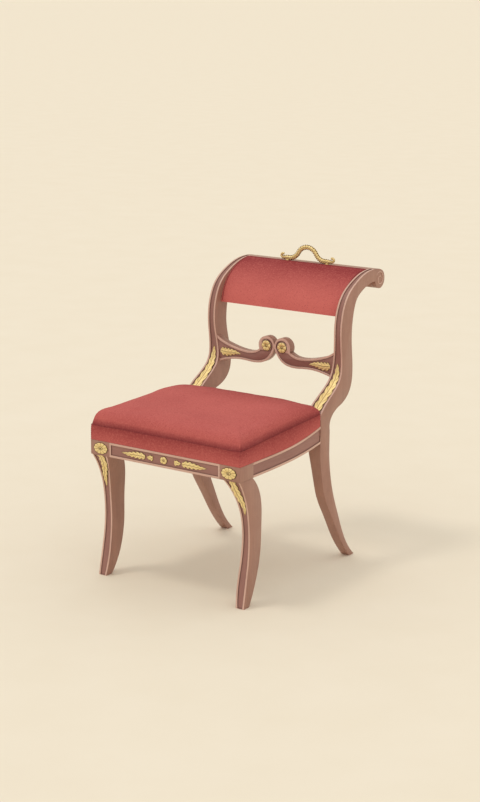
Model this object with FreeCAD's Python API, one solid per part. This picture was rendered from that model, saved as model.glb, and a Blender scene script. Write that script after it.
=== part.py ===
import FreeCAD, Part
import math
import os
from FreeCAD import Vector

# A klismos dining chair: sabre legs, stiles that sweep up out of the side rails and roll over
# backwards, a padded crest, a pair of scrolled arms across the back and cast gilt mounts.
# Millimetres, +Z up.  The chair faces -Y and +X is on the right of someone who looks at its front.
# While it is drawn, y = 0 is the front of the seat rail; the last lines put the origin under the
# middle of the whole chair.

# ---- driving dimensions
FRONT_WIDTH = 522.0         # over the two front corner blocks
SIDE_TAPER = 0.04           # each side closes in by this much per mm of depth
SEAT_DEPTH = 416.0          # front of the front rail to the front of the stiles
RAIL_TOP = 408.0            # top of the seat rails above the floor
BACK_HEIGHT = 439.0         # crest above the seat rails
BLOCK_WIDTH = 68.0          # corner block on top of each front leg
BLOCK_DEPTH = 66.0
RAIL_HEIGHT = 42.0
RAIL_THICK = 28.0
REBATE_DEPTH = 12.0         # the seat frame sits this far down inside the rails
LIP = 10.0                  # what the rebate leaves of the rail's thickness
REAR_RAIL_BACK = 46.0       # back of the rear rail behind the front of the stiles
RAIL_SWEEP = 26.0           # the side rail's top climbs this much where it meets the stile

BEAD = 5.5                  # bead left standing beside a sunk channel
SINK = 2.2                  # depth of the sunk channels and panels
MOUNT_THICK = 3.2           # cast mounts, from the channel floor
MOUNT_CLEAR = 0.2           # between a mount and the beads beside it
SURFACE_MOUNT = 2.4         # cast mounts that sit on a plain face

LEG_TOP_WIDTH = 55.0        # front leg just under its block
LEG_INSET = 2.0             # the block overhangs the leg by this much
LEG_KNEE_WIDTH = 31.0
LEG_KNEE_DEPTH = 60.0
LEG_FOOT_WIDTH = 28.0
LEG_SWEEP = 49.0            # how far the knee of the front leg stands back from the rail's face
LEG_FOOT_FRONT = 21.0       # front of the foot behind the rail's face
LEG_FOOT_DEPTH = 27.0

REAR_FOOT_OUT = 173.0       # front of the rear foot behind the front of the stiles
REAR_FOOT_DEPTH = 26.0
REAR_LEG_DEPTH = 50.0       # rear leg where it leaves the seat
REAR_FOOT_WIDTH = 25.0
STILE_SEAT_WIDTH = 48.4     # face of the stile where it stands on the side rail
STILE_CREST_WIDTH = 26.1    # face of the stile from the arms to the crest
STILE_SWEEP = 118.0         # back of the seat corner to the face of the upright stile
STILE_SWEEP_RISE = 190.0    # height over which the stile sweeps back
STILE_THICK = 56.0
CREST_BEND = 178.0          # height over which the stile bends back under the crest
CREST_THICK = 40.0
ROLL_RADIUS = 28.0          # roll at the back of the crest
ROLL_REACH = 330.0          # axis of the roll behind the front of the stiles
ROLL_DROP = 5.0             # top of the roll below the crest
ROLL_SHOULDER = math.radians(24)        # how steeply the crest falls where the roll takes it on

TENON_LENGTH = 20.0
TENON_THICK = 10.0
STUB = 14.0                 # length of the stub tenons in the slender uprights
TENON_SHOULDER = 1.0        # on each side of the thin tenons behind the side rails
GLUE_GAP = 0.15             # room for glue round a tenon or a dowel
SOFT_GAP = 0.3              # between the upholstery and the wood under it

ARM_LEVEL = 209.0           # eyes of the arms above the seat rails
ARM_THICK = 24.0
ARM_FALL = 72.0             # the arms' lower edges at the stiles, below their eyes
VOLUTE_RADIUS = 28.5
VOLUTE_JOIN = 5.0           # half the height of the flat where the two volutes meet
EYE_RADIUS = 16.0
ARM_GROOVE = 1.8

CREST_PANEL = 121.0         # lower edge of the crest panel below the crest
CREST_PANEL_END = 46.0      # upper edge of the crest panel in front of the roll's axis
CREST_SET_BACK = 26.0       # lower edge of the crest panel behind the stiles' face
CREST_BOARD = 18.0
CREST_PAD = 14.0
COVER = 1.5                 # thickness of the cover cloth
CREST_PROUD = 1.0           # the crest cover stands this far above the stiles at the top
HANDLE_RADIUS = 4.6
HANDLE_RISE = 40.0          # axis of the arch above the axis of its feet
HANDLE_FEET = 71.0          # half the distance between the two fixings
HANDLE_SLOPE = math.radians(67)
HANDLE_SIT = 7.0            # handle's axis behind the upper edge of the crest panel

SEAT_FRAME_WIDTH = 50.0
SEAT_FRAME_THICK = 20.0
SEAT_FRAME_GAP = 1.0        # between the seat frame and the lip of the rails
BORDER_HEIGHT = 45.0        # upright border of the cushion
CROWN = 44.0                # middle of the cushion above its border
CROWN_SHOULDER = 45.0       # how far in from the front and the sides the crown levels out
CROWN_FALL = 200.0          # how far in from the back it levels out
SEAT_CLIMB = 18.0           # the cushion's border is this much higher at the stiles
WEB_WIDTH = 48.0
WEB_THICK = 1.2

PIN_RADIUS = 0.9
PIN_LENGTH = 11.0
SCREW_RADIUS = 2.0
SCREW_HEAD = 4.0
SCREW_HEAD_THICK = 2.0
SCREW_LENGTH = 38.0

# ---- levels that follow
HALF = FRONT_WIDTH / 2
RAIL_BOTTOM = RAIL_TOP - RAIL_HEIGHT
SHELF = RAIL_TOP - REBATE_DEPTH
CREST_TOP = RAIL_TOP + BACK_HEIGHT
BLOCK_INNER = HALF - BLOCK_WIDTH
ARM_FACE = SEAT_DEPTH + STILE_SWEEP
REAR_FOOT_BACK = SEAT_DEPTH + REAR_FOOT_OUT + REAR_FOOT_DEPTH
STILE_SEAT_INNER = HALF - SIDE_TAPER * SEAT_DEPTH - STILE_SEAT_WIDTH
STILE_CREST_INNER = HALF - SIDE_TAPER * ARM_FACE - STILE_CREST_WIDTH
REAR_FOOT_INNER = HALF - SIDE_TAPER * REAR_FOOT_BACK - REAR_FOOT_WIDTH
REAR_RAIL_Y = SEAT_DEPTH + REAR_RAIL_BACK
REAR_RAIL_BOTTOM = RAIL_BOTTOM + 8
FAR = 2000.0
NEAR = 200.0                # well outside the chair, near enough for the parts that it bounds
FLAT = 0.12                 # an arc that rises less than this is drawn straight


# ---- drawing helpers
def side(y, z):
    """A point of a side elevation."""
    return Vector(0, y, z)


def front(x, z):
    """A point of a front elevation."""
    return Vector(x, 0, z)


def spline(points):
    curve = Part.BSplineCurve()
    curve.interpolate(Points=points)
    return curve


def line(a, b):
    return Part.LineSegment(a, b).toShape()


def arc_from(start, heading, end):
    """The arc that leaves start along heading and reaches end."""
    chord = end - start
    length = chord.Length
    along = chord * (1 / length)
    lean = heading - along * heading.dot(along)
    rise = length / 2 * math.tan(math.atan2(lean.Length, heading.dot(along)) / 2)
    if rise < FLAT:
        return line(start, end)
    return Part.Arc(start, (start + end) * 0.5 + lean.normalize() * rise, end).toShape()


def two_arcs(start, heading, end, arriving):
    """Two arcs that meet smoothly between two points with given headings."""
    chord = end - start
    turn = 1 - heading.dot(arriving)
    reach = chord.dot(heading + arriving)
    if turn < 1e-6:
        arm = chord.dot(chord) / (4 * chord.dot(heading))
    else:
        arm = (math.sqrt(reach ** 2 + 2 * turn * chord.dot(chord)) - reach) / (2 * turn)
    middle = (start + end + (heading - arriving) * arm) * 0.5
    joint = (start + heading * arm - middle).normalize() * -1
    return [arc_from(start, heading, middle), arc_from(middle, joint, end)]


class Trace:
    """A drawn curve as a chain of smooth arcs, moved sideways by a distance within its own plane."""

    def __init__(self, curve, distance=0.0, across=None):
        self.curve = curve
        stations = []
        for at in curve.getKnots():
            heading = curve.tangent(at)[0]
            point = curve.value(at)
            if distance:
                point = point + heading.cross(across).normalize() * distance
            stations.append((point, heading))
        self.edges = []
        for one, other in zip(stations, stations[1:]):
            self.edges.extend(two_arcs(*one, *other))
        self.start, self.end = stations[0][0], stations[-1][0]


def face_of(edges):
    return Part.Face(Part.Wire(Part.__sortEdges__(edges)))


def between(one, other):
    """The face between two traces, closed by a straight line at each end."""
    return face_of(one.edges + other.edges + [line(one.start, other.start), line(one.end, other.end)])


def across_x(face, start=0.0, end=FAR):
    moved = face.copy()
    moved.translate(Vector(start, 0, 0))
    return moved.extrude(Vector(end - start, 0, 0))


def across_y(face, start=-FAR, end=FAR):
    moved = face.copy()
    moved.translate(Vector(0, start, 0))
    return moved.extrude(Vector(0, end - start, 0))


def polygon(points):
    return Part.Face(Part.makePolygon(points + points[:1]))


def faceted(sections):
    """A solid with flat facets through sections that have the same number of corners."""
    faces = [polygon(sections[0]), polygon(sections[-1])]
    for low, high in zip(sections, sections[1:]):
        for i in range(len(low)):
            faces.append(polygon([low[i - 1], low[i], high[i]]))
            faces.append(polygon([low[i - 1], high[i], high[i - 1]]))
    shell = Part.makeShell(faces)
    shell.sewShape()
    solid = Part.makeSolid(shell)
    if solid.Volume < 0:
        solid.reverse()
    return solid.removeSplitter()


def box(x0, x1, y0, y1, z0, z1):
    return Part.makeBox(x1 - x0, y1 - y0, z1 - z0, Vector(x0, y0, z0))


def outer_x(y, inset=0.0):
    """The outer plane of the right side frame."""
    return HALF - inset - SIDE_TAPER * y


def half_plan(inset=0.0, z0=-FAR, z1=FAR):
    """Everything to the right of the middle and inside the right side frame's outer plane."""
    corners = [(0, -NEAR), (outer_x(-NEAR, inset), -NEAR), (outer_x(FAR, inset), FAR), (0, FAR)]
    return polygon([Vector(x, y, z0) for x, y in corners]).extrude(Vector(0, 0, z1 - z0))


def rod(radius, start, end, flats=6):
    """A straight rod with flat sides, as cut brads and tacks have."""
    circle = Part.makeCircle(radius, start, end - start)
    points = circle.discretize(flats + 1)
    return polygon(points[:-1]).extrude(end - start)


def mirrored(shape):
    return shape.mirror(Vector(0, 0, 0), Vector(1, 0, 0))


def group(solids):
    return Part.makeCompound(solids)


pieces = {}


def pair(name, shape):
    """Keeps a right-hand piece and its left-hand twin."""
    pieces[name + "_right"] = shape
    pieces[name + "_left"] = mirrored(shape)


# ---- the lines of the right side frame, seen from the side
UP = Vector(0, 0, 1)
BACK = Vector(0, 1, 0)
SIDE_NORMAL = Vector(1, 0, 0)
FRONT_NORMAL = Vector(0, 1, 0)


def sweep_point(out, rise, thick=0.0):
    """A point of the lower sweep, in parts of its depth and height, and of the stile's own depth."""
    return side(SEAT_DEPTH + STILE_SWEEP * out + STILE_THICK * thick, RAIL_TOP + STILE_SWEEP_RISE * rise)


def crest_point(out, drop, thick=0.0):
    """A point of the upper bend, in parts of its depth and height."""
    reach = ROLL_REACH - STILE_SWEEP
    return side(ARM_FACE + reach * out + STILE_THICK * thick, CREST_TOP - CREST_BEND * drop)


STILE_FACE = spline(
    [sweep_point(0, 0.23), sweep_point(0.034, 0.31), sweep_point(0.15, 0.39), sweep_point(0.58, 0.57),
     sweep_point(0.955, 0.80), sweep_point(1, 1), crest_point(-0.03, 1), crest_point(0.014, 0.585),
     crest_point(0.133, 0.337), crest_point(0.362, 0.146), crest_point(0.629, 0.028),
     crest_point(0.838, 0)])
ROLL_CENTRE = side(SEAT_DEPTH + ROLL_REACH, CREST_TOP - ROLL_RADIUS - ROLL_DROP)
ROLL_NOTCH = math.radians(172)
ROLL_TOP = ROLL_CENTRE + side(math.sin(ROLL_SHOULDER), math.cos(ROLL_SHOULDER)) * ROLL_RADIUS
ROLL_END = ROLL_CENTRE + side(math.cos(ROLL_NOTCH), -math.sin(ROLL_NOTCH)) * ROLL_RADIUS
STILE_BACK = spline(
    [side(SEAT_DEPTH + REAR_LEG_DEPTH * 1.02, RAIL_TOP + 4),
     side(SEAT_DEPTH + REAR_LEG_DEPTH * 1.1, RAIL_TOP + STILE_SWEEP_RISE * 0.18),
     sweep_point(0.61, 0.27), sweep_point(1, 0.426, 0.39), sweep_point(1, 0.59, 0.89),
     sweep_point(1, 0.842, 1.05), crest_point(0, 1.067, 0.93), crest_point(0, 0.607, 1.11),
     crest_point(0.381, 0.404), crest_point(0.514, 0.303), crest_point(0.686, 0.23), ROLL_END])

LEG_LEVELS = (0.80, 0.58, 0.40, 0.20)       # heights of the legs' stations, as parts of RAIL_BOTTOM


def leg_station(dy, level):
    return side(dy, RAIL_BOTTOM * LEG_LEVELS[level])


FRONT_LEG_FACE = spline(
    [side(LEG_INSET, RAIL_BOTTOM), leg_station(LEG_SWEEP * 0.78, 0), leg_station(LEG_SWEEP * 1.04, 1),
     leg_station(LEG_SWEEP, 2), leg_station(LEG_SWEEP * 0.74, 3), side(LEG_FOOT_FRONT, 0)])
FRONT_LEG_BACK = spline(
    [side(BLOCK_DEPTH - LEG_INSET, RAIL_BOTTOM), leg_station(LEG_SWEEP + LEG_KNEE_DEPTH * 0.97, 0),
     leg_station(LEG_SWEEP + LEG_KNEE_DEPTH, 1), leg_station(LEG_SWEEP + LEG_KNEE_DEPTH * 0.92, 2),
     leg_station(LEG_SWEEP + LEG_KNEE_DEPTH * 0.58, 3),
     side(LEG_FOOT_FRONT + LEG_FOOT_DEPTH, 0)])
REAR_LEG_FACE = spline(
    [side(SEAT_DEPTH, RAIL_BOTTOM * 0.94), side(SEAT_DEPTH + REAR_FOOT_OUT * 0.06, RAIL_BOTTOM * 0.75),
     leg_station(SEAT_DEPTH + REAR_FOOT_OUT * 0.17, 1), leg_station(SEAT_DEPTH + REAR_FOOT_OUT * 0.40, 2),
     leg_station(SEAT_DEPTH + REAR_FOOT_OUT * 0.66, 3), side(SEAT_DEPTH + REAR_FOOT_OUT, 0)])
REAR_LEG_BACK = spline(
    [side(SEAT_DEPTH + REAR_LEG_DEPTH, RAIL_BOTTOM * 0.94),
     side(SEAT_DEPTH + REAR_LEG_DEPTH + REAR_FOOT_OUT * 0.05, RAIL_BOTTOM * 0.75),
     leg_station(SEAT_DEPTH + REAR_LEG_DEPTH + REAR_FOOT_OUT * 0.15, 1),
     leg_station(SEAT_DEPTH + REAR_LEG_DEPTH + REAR_FOOT_OUT * 0.31, 2),
     leg_station(SEAT_DEPTH + REAR_LEG_DEPTH + REAR_FOOT_OUT * 0.51, 3),
     side(REAR_FOOT_BACK, 0)])

SIDE_RAIL_TOP = spline(
    [side(BLOCK_DEPTH, RAIL_TOP), side(SEAT_DEPTH * 0.48, RAIL_TOP), side(SEAT_DEPTH * 0.72, RAIL_TOP + 6),
     side(SEAT_DEPTH * 0.88, RAIL_TOP + RAIL_SWEEP * 0.6), side(SEAT_DEPTH, RAIL_TOP + RAIL_SWEEP)])
SIDE_RAIL_BOTTOM = spline(
    [side(BLOCK_DEPTH, RAIL_BOTTOM), side(SEAT_DEPTH * 0.48, RAIL_BOTTOM),
     side(SEAT_DEPTH * 0.72, RAIL_BOTTOM + 4), side(SEAT_DEPTH, RAIL_BOTTOM + 18)])

# ---- the edges of the right side frame, seen from the front
FRONT_LEG_INNER = spline(
    [front(HALF - LEG_INSET - LEG_FOOT_WIDTH, 0), front(HALF - LEG_KNEE_WIDTH, RAIL_BOTTOM * 0.5),
     front(HALF - LEG_KNEE_WIDTH * 1.1, RAIL_BOTTOM * 0.76),
     front(HALF - LEG_KNEE_WIDTH * 1.45, RAIL_BOTTOM * 0.90),
     front(HALF - LEG_INSET - LEG_TOP_WIDTH, RAIL_BOTTOM)])
STILE_INNER = spline(
    [front(REAR_FOOT_INNER, 0), front(REAR_FOOT_INNER, RAIL_BOTTOM * 0.45),
     front((STILE_SEAT_INNER + 7 * REAR_FOOT_INNER) / 8, RAIL_BOTTOM * 0.85),
     front((7 * STILE_SEAT_INNER + REAR_FOOT_INNER) / 8, RAIL_TOP - BEAD),
     front(STILE_SEAT_INNER, RAIL_TOP + STILE_SWEEP_RISE * 0.26),
     front((5 * STILE_SEAT_INNER + 2 * STILE_CREST_INNER) / 7, RAIL_TOP + STILE_SWEEP_RISE * 0.75),
     front((2 * STILE_SEAT_INNER + 7 * STILE_CREST_INNER) / 9, RAIL_TOP + STILE_SWEEP_RISE * 1.12),
     front(STILE_CREST_INNER - 0.8, RAIL_TOP + STILE_SWEEP_RISE * 1.29),
     front(STILE_CREST_INNER, RAIL_TOP + STILE_SWEEP_RISE * 1.45)])


def beyond(inner_edge, inset=0.0):
    """Everything to the right of an inner edge drawn upwards in the front elevation, and straight on."""
    edge = Trace(inner_edge, -inset, FRONT_NORMAL)
    low, high = edge.start, edge.end
    corners = [line(low, front(FAR, low.z)), line(front(FAR, low.z), front(FAR, FAR)),
               line(front(FAR, FAR), front(high.x, FAR)), line(front(high.x, FAR), high)]
    return across_y(face_of(edge.edges + corners))


def rises(curve):
    return curve.value(curve.LastParameter).z > curve.value(curve.FirstParameter).z


def layer(curve, start, end, x0=0.0, x1=FAR):
    """A slab that follows a side curve, from start to end mm behind it."""
    way = 1 if rises(curve) else -1
    near, far = Trace(curve, way * start, SIDE_NORMAL), Trace(curve, way * end, SIDE_NORMAL)
    return across_x(between(near, far), x0, x1)


def channel_width(inner_edge, inset, clear=0.0):
    """The width between a member's two beads, less a clearance on each side."""
    return beyond(inner_edge, BEAD + clear).common(half_plan(inset + BEAD + clear))


# ---- gilt mounts: outlines in the front elevation, cast to fit the face they sit on
def leaf_edge(root, tip, half_width, lobes, root_share=0.45):
    """An acanthus outline: pointed lobes down both sides of a straight midrib."""
    along = tip - root
    out = FRONT_NORMAL.cross(along).normalize()

    def swell(share):
        fullness = root_share + (1 - root_share) * math.sin(math.pi * min(1.0, share * 1.9) / 2)
        return half_width * fullness * math.sqrt(max(0.0, 1 - share ** 2.2))

    edge = []
    for i in range(lobes):
        edge.append((i / lobes, swell(i / lobes) * 0.72))
        edge.append(((i + 0.7) / lobes, max(swell((i + 0.7) / lobes), 0.15 * half_width)))
    points = [root + along * share + out * reach for share, reach in edge] + [tip]
    points += [root + along * share - out * reach for share, reach in reversed(edge)]
    return polygon(points)


def petal_edge(centre, reach_x, reach_z, petals):
    """A rosette outline: blunt petals on an oval."""
    points = []
    for i in range(petals):
        for turn, share in ((0.0, 0.84), (0.3, 1.0), (0.7, 1.0)):
            angle = (i + turn) * 2 * math.pi / petals
            points.append(centre + front(math.cos(angle) * reach_x, math.sin(angle) * reach_z) * share)
    return polygon(points)


pins = []


def pin_hole(x, z, face_y, depth=PIN_LENGTH, slant=FRONT_NORMAL):
    """Keeps a pin whose head is flush with a mount and returns the hole that it needs."""
    start = Vector(x, face_y, z)
    pins.append(rod(PIN_RADIUS, start, start + slant * depth, 4))
    return rod(PIN_RADIUS, start - slant * 5, start + slant * depth, 4)


def face_depth(curve, z):
    """The y of a side curve that climbs, at one level."""
    low, high = curve.FirstParameter, curve.LastParameter
    for _ in range(40):
        middle = (low + high) / 2
        if (curve.value(middle).z < z) == rises(curve):
            low = middle
        else:
            high = middle
    return curve.value(low).y


# ---- front legs
def front_leg():
    """Sabre leg with a squared block on top, its front sunk between two beads."""
    leg = across_x(between(Trace(FRONT_LEG_FACE), Trace(FRONT_LEG_BACK)))
    leg = leg.common(beyond(FRONT_LEG_INNER)).common(half_plan(LEG_INSET))
    leg = leg.cut(layer(FRONT_LEG_FACE, -4, SINK).common(channel_width(FRONT_LEG_INNER, LEG_INSET)))
    block = box(BLOCK_INNER, HALF, 0, BLOCK_DEPTH, RAIL_BOTTOM, RAIL_TOP).common(half_plan())
    block = block.cut(box(0, FAR, LIP, FAR, SHELF, FAR).common(half_plan(LIP)))
    return block.fuse(leg).removeSplitter()


# ---- rails
def front_rail():
    """Front rail with a sunk panel between beads, rebated behind for the seat."""
    rail = box(-BLOCK_INNER, BLOCK_INNER, 0, RAIL_THICK, RAIL_BOTTOM, RAIL_TOP)
    rail = rail.cut(box(-FAR, FAR, LIP, FAR, SHELF, FAR))
    rail = rail.cut(box(-BLOCK_INNER + BEAD, BLOCK_INNER - BEAD, -1, SINK, RAIL_BOTTOM + BEAD + 1,
                        RAIL_TOP - BEAD - 1))
    return rail


def rail_tenon(gap=0.0):
    """Tenon on the right-hand end of the front rail."""
    middle = RAIL_THICK / 2 + 2
    thick = TENON_THICK / 2 + gap
    return box(BLOCK_INNER - 1, BLOCK_INNER + TENON_LENGTH + gap, middle - thick, middle + thick,
               RAIL_BOTTOM + 6 - gap, SHELF - 4 + gap)


def side_rail_tenon(gap=0.0):
    """Tenon on the front end of the right side rail."""
    middle = outer_x(BLOCK_DEPTH, RAIL_THICK / 2 + 2)
    thick = TENON_THICK / 2 + gap
    return box(middle - thick, middle + thick, BLOCK_DEPTH - TENON_LENGTH - gap, BLOCK_DEPTH + 1,
               RAIL_BOTTOM + 6 - gap, SHELF - 4 + gap)


def stile_tenon(gap=0.0):
    """Tall thin tenon on the rear end of the right side rail, in its lip."""
    middle = outer_x(SEAT_DEPTH, (LIP + SINK) / 2)
    thick = (LIP - SINK) / 2 - TENON_SHOULDER + gap
    return box(middle - thick, middle + thick, SEAT_DEPTH - 1, SEAT_DEPTH + TENON_LENGTH + gap,
               RAIL_BOTTOM + RAIL_SWEEP - gap, RAIL_TOP + RAIL_SWEEP - BEAD - 2 + gap)


def side_rail_body():
    rail = across_x(between(Trace(SIDE_RAIL_TOP), Trace(SIDE_RAIL_BOTTOM))).common(half_plan())
    rail = rail.cut(half_plan(RAIL_THICK))
    return rail.cut(half_plan(LIP, z0=SHELF))


def side_rail():
    """Side rail: its outer face sunk between two beads, swept up to meet the stile."""
    top = Trace(SIDE_RAIL_TOP, BEAD + 1, SIDE_NORMAL)
    bottom = Trace(SIDE_RAIL_BOTTOM, -BEAD - 1, SIDE_NORMAL)
    sunk = across_x(between(top, bottom)).cut(half_plan(SINK))
    return side_rail_body().cut(sunk)


def rear_rail():
    """Rear rail between the stiles, rebated in front for the seat."""
    y0 = REAR_RAIL_Y - RAIL_THICK
    rail = box(0, HALF, y0, REAR_RAIL_Y, REAR_RAIL_BOTTOM, RAIL_TOP + RAIL_SWEEP)
    rail = rail.cut(beyond(STILE_INNER))
    rail = rail.cut(box(-FAR, FAR, y0 - 1, REAR_RAIL_Y - LIP, SHELF, FAR))
    return rail.fuse(mirrored(rail)).removeSplitter()


def rear_rail_tenon(gap=0.0):
    middle = REAR_RAIL_Y - RAIL_THICK / 2 - 3
    thick = TENON_THICK / 2 + gap
    return box(STILE_SEAT_INNER - 4, STILE_SEAT_INNER + TENON_LENGTH + gap, middle - thick, middle + thick,
               REAR_RAIL_BOTTOM + 3 - gap, SHELF - 2 + gap)


# ---- rear legs and stiles, one timber each
def stile_profile():
    """The whole side elevation: rear leg, seat joint, sweep, upright and roll."""
    roll = Part.Arc(ROLL_TOP, ROLL_CENTRE + side(ROLL_RADIUS, 0), ROLL_CENTRE - side(0, ROLL_RADIUS))
    curl = Part.Arc(ROLL_CENTRE - side(0, ROLL_RADIUS), ROLL_CENTRE + side(-0.8, -0.6) * ROLL_RADIUS,
                    ROLL_END)
    edges = [roll.toShape(), curl.toShape()]
    falling = side(math.cos(ROLL_SHOULDER), -math.sin(ROLL_SHOULDER))
    edges += two_arcs(STILE_FACE.EndPoint, BACK, ROLL_TOP, falling)
    for curve in (STILE_FACE, STILE_BACK, REAR_LEG_FACE, REAR_LEG_BACK):
        edges += Trace(curve).edges
    edges.append(line(REAR_LEG_FACE.StartPoint, STILE_FACE.StartPoint))
    edges.append(line(REAR_LEG_BACK.StartPoint, STILE_BACK.StartPoint))
    edges.append(line(REAR_LEG_FACE.EndPoint, REAR_LEG_BACK.EndPoint))
    return face_of(edges)


def rear_stile():
    stile = across_x(STILE_PROFILE).common(beyond(STILE_INNER)).common(half_plan())
    return stile.cut(layer(STILE_FACE, -4, SINK).common(channel_width(STILE_INNER, 0.0)))


STILE_PROFILE = stile_profile()
leg = front_leg()
stile = rear_stile()
rail = front_rail()
rail_right = side_rail()
rail_rear = rear_rail()

rail_right = rail_right.fuse([side_rail_tenon(), stile_tenon()]).removeSplitter()
leg = leg.cut([side_rail_tenon(GLUE_GAP), rail_tenon(GLUE_GAP)])
stile = stile.cut([stile_tenon(GLUE_GAP), rear_rail_tenon(GLUE_GAP)])
rail = rail.fuse([rail_tenon(), mirrored(rail_tenon())]).removeSplitter()
rail_rear = rail_rear.fuse([rear_rail_tenon(), mirrored(rear_rail_tenon())]).removeSplitter()

# ---- corner braces, screwed across the four inside corners of the rails
BRACE_REACH = 46.0
BRACE_THICK = 24.0
REAR_BRACE_THICK = 14.0     # the rear corners are shallower, because the side rails sweep up
BRACE_DROP = 2.0            # top of a brace below the shelf that the seat frame sits on


def plan_prism(corners, z0, z1):
    return polygon([Vector(x, y, z0) for x, y in corners]).extrude(Vector(0, 0, z1 - z0))


def brace(corners, thick):
    top = SHELF - BRACE_DROP
    return plan_prism(corners, top - thick, top)


def screw(start, way, length, radius=SCREW_RADIUS, head=SCREW_HEAD):
    """A cheese-headed screw, which is also the hole that it needs."""
    return rod(radius, start, start + way * length).fuse(rod(head, start, start + way * SCREW_HEAD_THICK))


front_corner = brace([(BLOCK_INNER - BRACE_REACH, RAIL_THICK), (BLOCK_INNER, RAIL_THICK),
                      (BLOCK_INNER, BLOCK_DEPTH), (outer_x(BLOCK_DEPTH, RAIL_THICK), BLOCK_DEPTH),
                      (outer_x(BLOCK_DEPTH + BRACE_REACH, RAIL_THICK), BLOCK_DEPTH + BRACE_REACH)],
                     BRACE_THICK)
rear_y = REAR_RAIL_Y - RAIL_THICK
rear_corner = brace([(STILE_SEAT_INNER - BRACE_REACH, rear_y), (HALF, rear_y), (HALF, SEAT_DEPTH),
                     (outer_x(SEAT_DEPTH, RAIL_THICK), SEAT_DEPTH),
                     (outer_x(SEAT_DEPTH - BRACE_REACH, RAIL_THICK), SEAT_DEPTH - BRACE_REACH)],
                    REAR_BRACE_THICK)
rear_corner = rear_corner.cut(across_x(STILE_PROFILE).common(beyond(STILE_INNER)))
rear_corner = rear_corner.cut(box(0, FAR, SEAT_DEPTH, FAR, -FAR, FAR).common(beyond(STILE_INNER)))

brace_screws = []


def brace_screw(x, y, way, thick):
    body = screw(Vector(x, y, SHELF - BRACE_DROP - thick / 2), way, SCREW_LENGTH)
    brace_screws.extend([body, mirrored(body)])
    return body


SCREW_INSET = 14.0          # screws from the tips of a brace
hole = brace_screw(BLOCK_INNER - BRACE_REACH + SCREW_INSET, RAIL_THICK + SCREW_INSET - 1, BACK * -1,
                   BRACE_THICK)
front_corner = front_corner.cut(hole)
rail = rail.cut([hole, mirrored(hole)])
inner_y = BLOCK_DEPTH + BRACE_REACH - SCREW_INSET
hole = brace_screw(outer_x(inner_y, RAIL_THICK + SCREW_INSET + 6), inner_y, SIDE_NORMAL, BRACE_THICK)
front_corner = front_corner.cut(hole)
rail_right = rail_right.cut(hole)
hole = brace_screw(STILE_SEAT_INNER - BRACE_REACH + SCREW_INSET, rear_y - SCREW_INSET + 1, BACK,
                   REAR_BRACE_THICK)
rear_corner = rear_corner.cut(hole)
rail_rear = rail_rear.cut([hole, mirrored(hole)])
inner_y = SEAT_DEPTH - BRACE_REACH + SCREW_INSET
hole = brace_screw(outer_x(inner_y, RAIL_THICK + SCREW_INSET + 6), inner_y, SIDE_NORMAL, REAR_BRACE_THICK)
rear_corner = rear_corner.cut(hole)
rail_right = rail_right.cut(hole)
pair("brace_front", front_corner)
pair("brace_rear", rear_corner)
pieces["brace_screws"] = group(brace_screws)

# ---- the pair of scrolled arms across the back
EYE_X = math.sqrt(VOLUTE_RADIUS ** 2 - VOLUTE_JOIN ** 2)
EYE = front(EYE_X, RAIL_TOP + ARM_LEVEL)


def eye_point(radius, turn):
    """A point round the eye of the right volute; the turn is in degrees."""
    return EYE + front(math.cos(math.radians(turn)), math.sin(math.radians(turn))) * radius


def arm_point(out, rise):
    """A point of an arm, in parts of the way from the eye to the stile and of the arm's fall."""
    return EYE + front((STILE_CREST_INNER - EYE_X) * out, ARM_FALL * rise)


ARM_TOP = spline([arm_point(1.01, 0.19), arm_point(0.935, 0.04), arm_point(0.73, -0.18),
                  arm_point(0.485, -0.32), arm_point(0.27, -0.32), eye_point(VOLUTE_RADIUS, -25)])
ARM_BOTTOM = spline([arm_point(0.98, -1), arm_point(0.73, -0.805), arm_point(0.485, -0.75),
                     arm_point(0.194, -0.78), arm_point(0.01, -0.64), arm_point(-0.103, -0.333),
                     eye_point(VOLUTE_RADIUS, 185)])


def arm_outline():
    roll = Part.Arc(eye_point(VOLUTE_RADIUS, 185), eye_point(VOLUTE_RADIUS, 80),
                    eye_point(VOLUTE_RADIUS, -25)).toShape()
    root = line(ARM_TOP.StartPoint, ARM_BOTTOM.StartPoint)
    return face_of(Trace(ARM_TOP).edges + Trace(ARM_BOTTOM).edges + [roll, root])


def round_eye(radius, start, end, end_radius, steps):
    """Points round the eye from one turn to another, closing in on it."""
    points = []
    for i in range(steps + 1):
        share = i / steps
        points.append(eye_point(radius + (end_radius - radius) * share, start + (end - start) * share))
    return points


def arm_groove():
    """The sunk channel of the arm, running on into a spiral round the eye."""
    near = inside(ARM_TOP, -BEAD, 4)
    far = inside(ARM_BOTTOM, BEAD, 5)
    ring = EYE_RADIUS + 1.5
    near += round_eye(ring, -62, -330, ring, 4)
    far += round_eye(VOLUTE_RADIUS - BEAD, -172, -335, ring + 1.5, 4)
    return between(Trace(spline(near)), Trace(spline(far)))


def inside(curve, distance, count):
    """Points along all but the end of a curve, moved sideways."""
    first, last = curve.FirstParameter, curve.LastParameter
    points = []
    for i in range(count):
        at = first + (last - first) * 0.86 * i / (count - 1)
        points.append(curve.value(at) + curve.tangent(at)[0].cross(FRONT_NORMAL).normalize() * distance)
    return points


def arm_body():
    arm = across_y(arm_outline(), ARM_FACE, ARM_FACE + ARM_THICK)
    arm = arm.common(box(0, FAR, -FAR, FAR, -FAR, FAR)).cut(beyond(STILE_INNER))
    return arm.cut(across_y(arm_groove(), ARM_FACE - 1, ARM_FACE + ARM_GROOVE))


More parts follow.
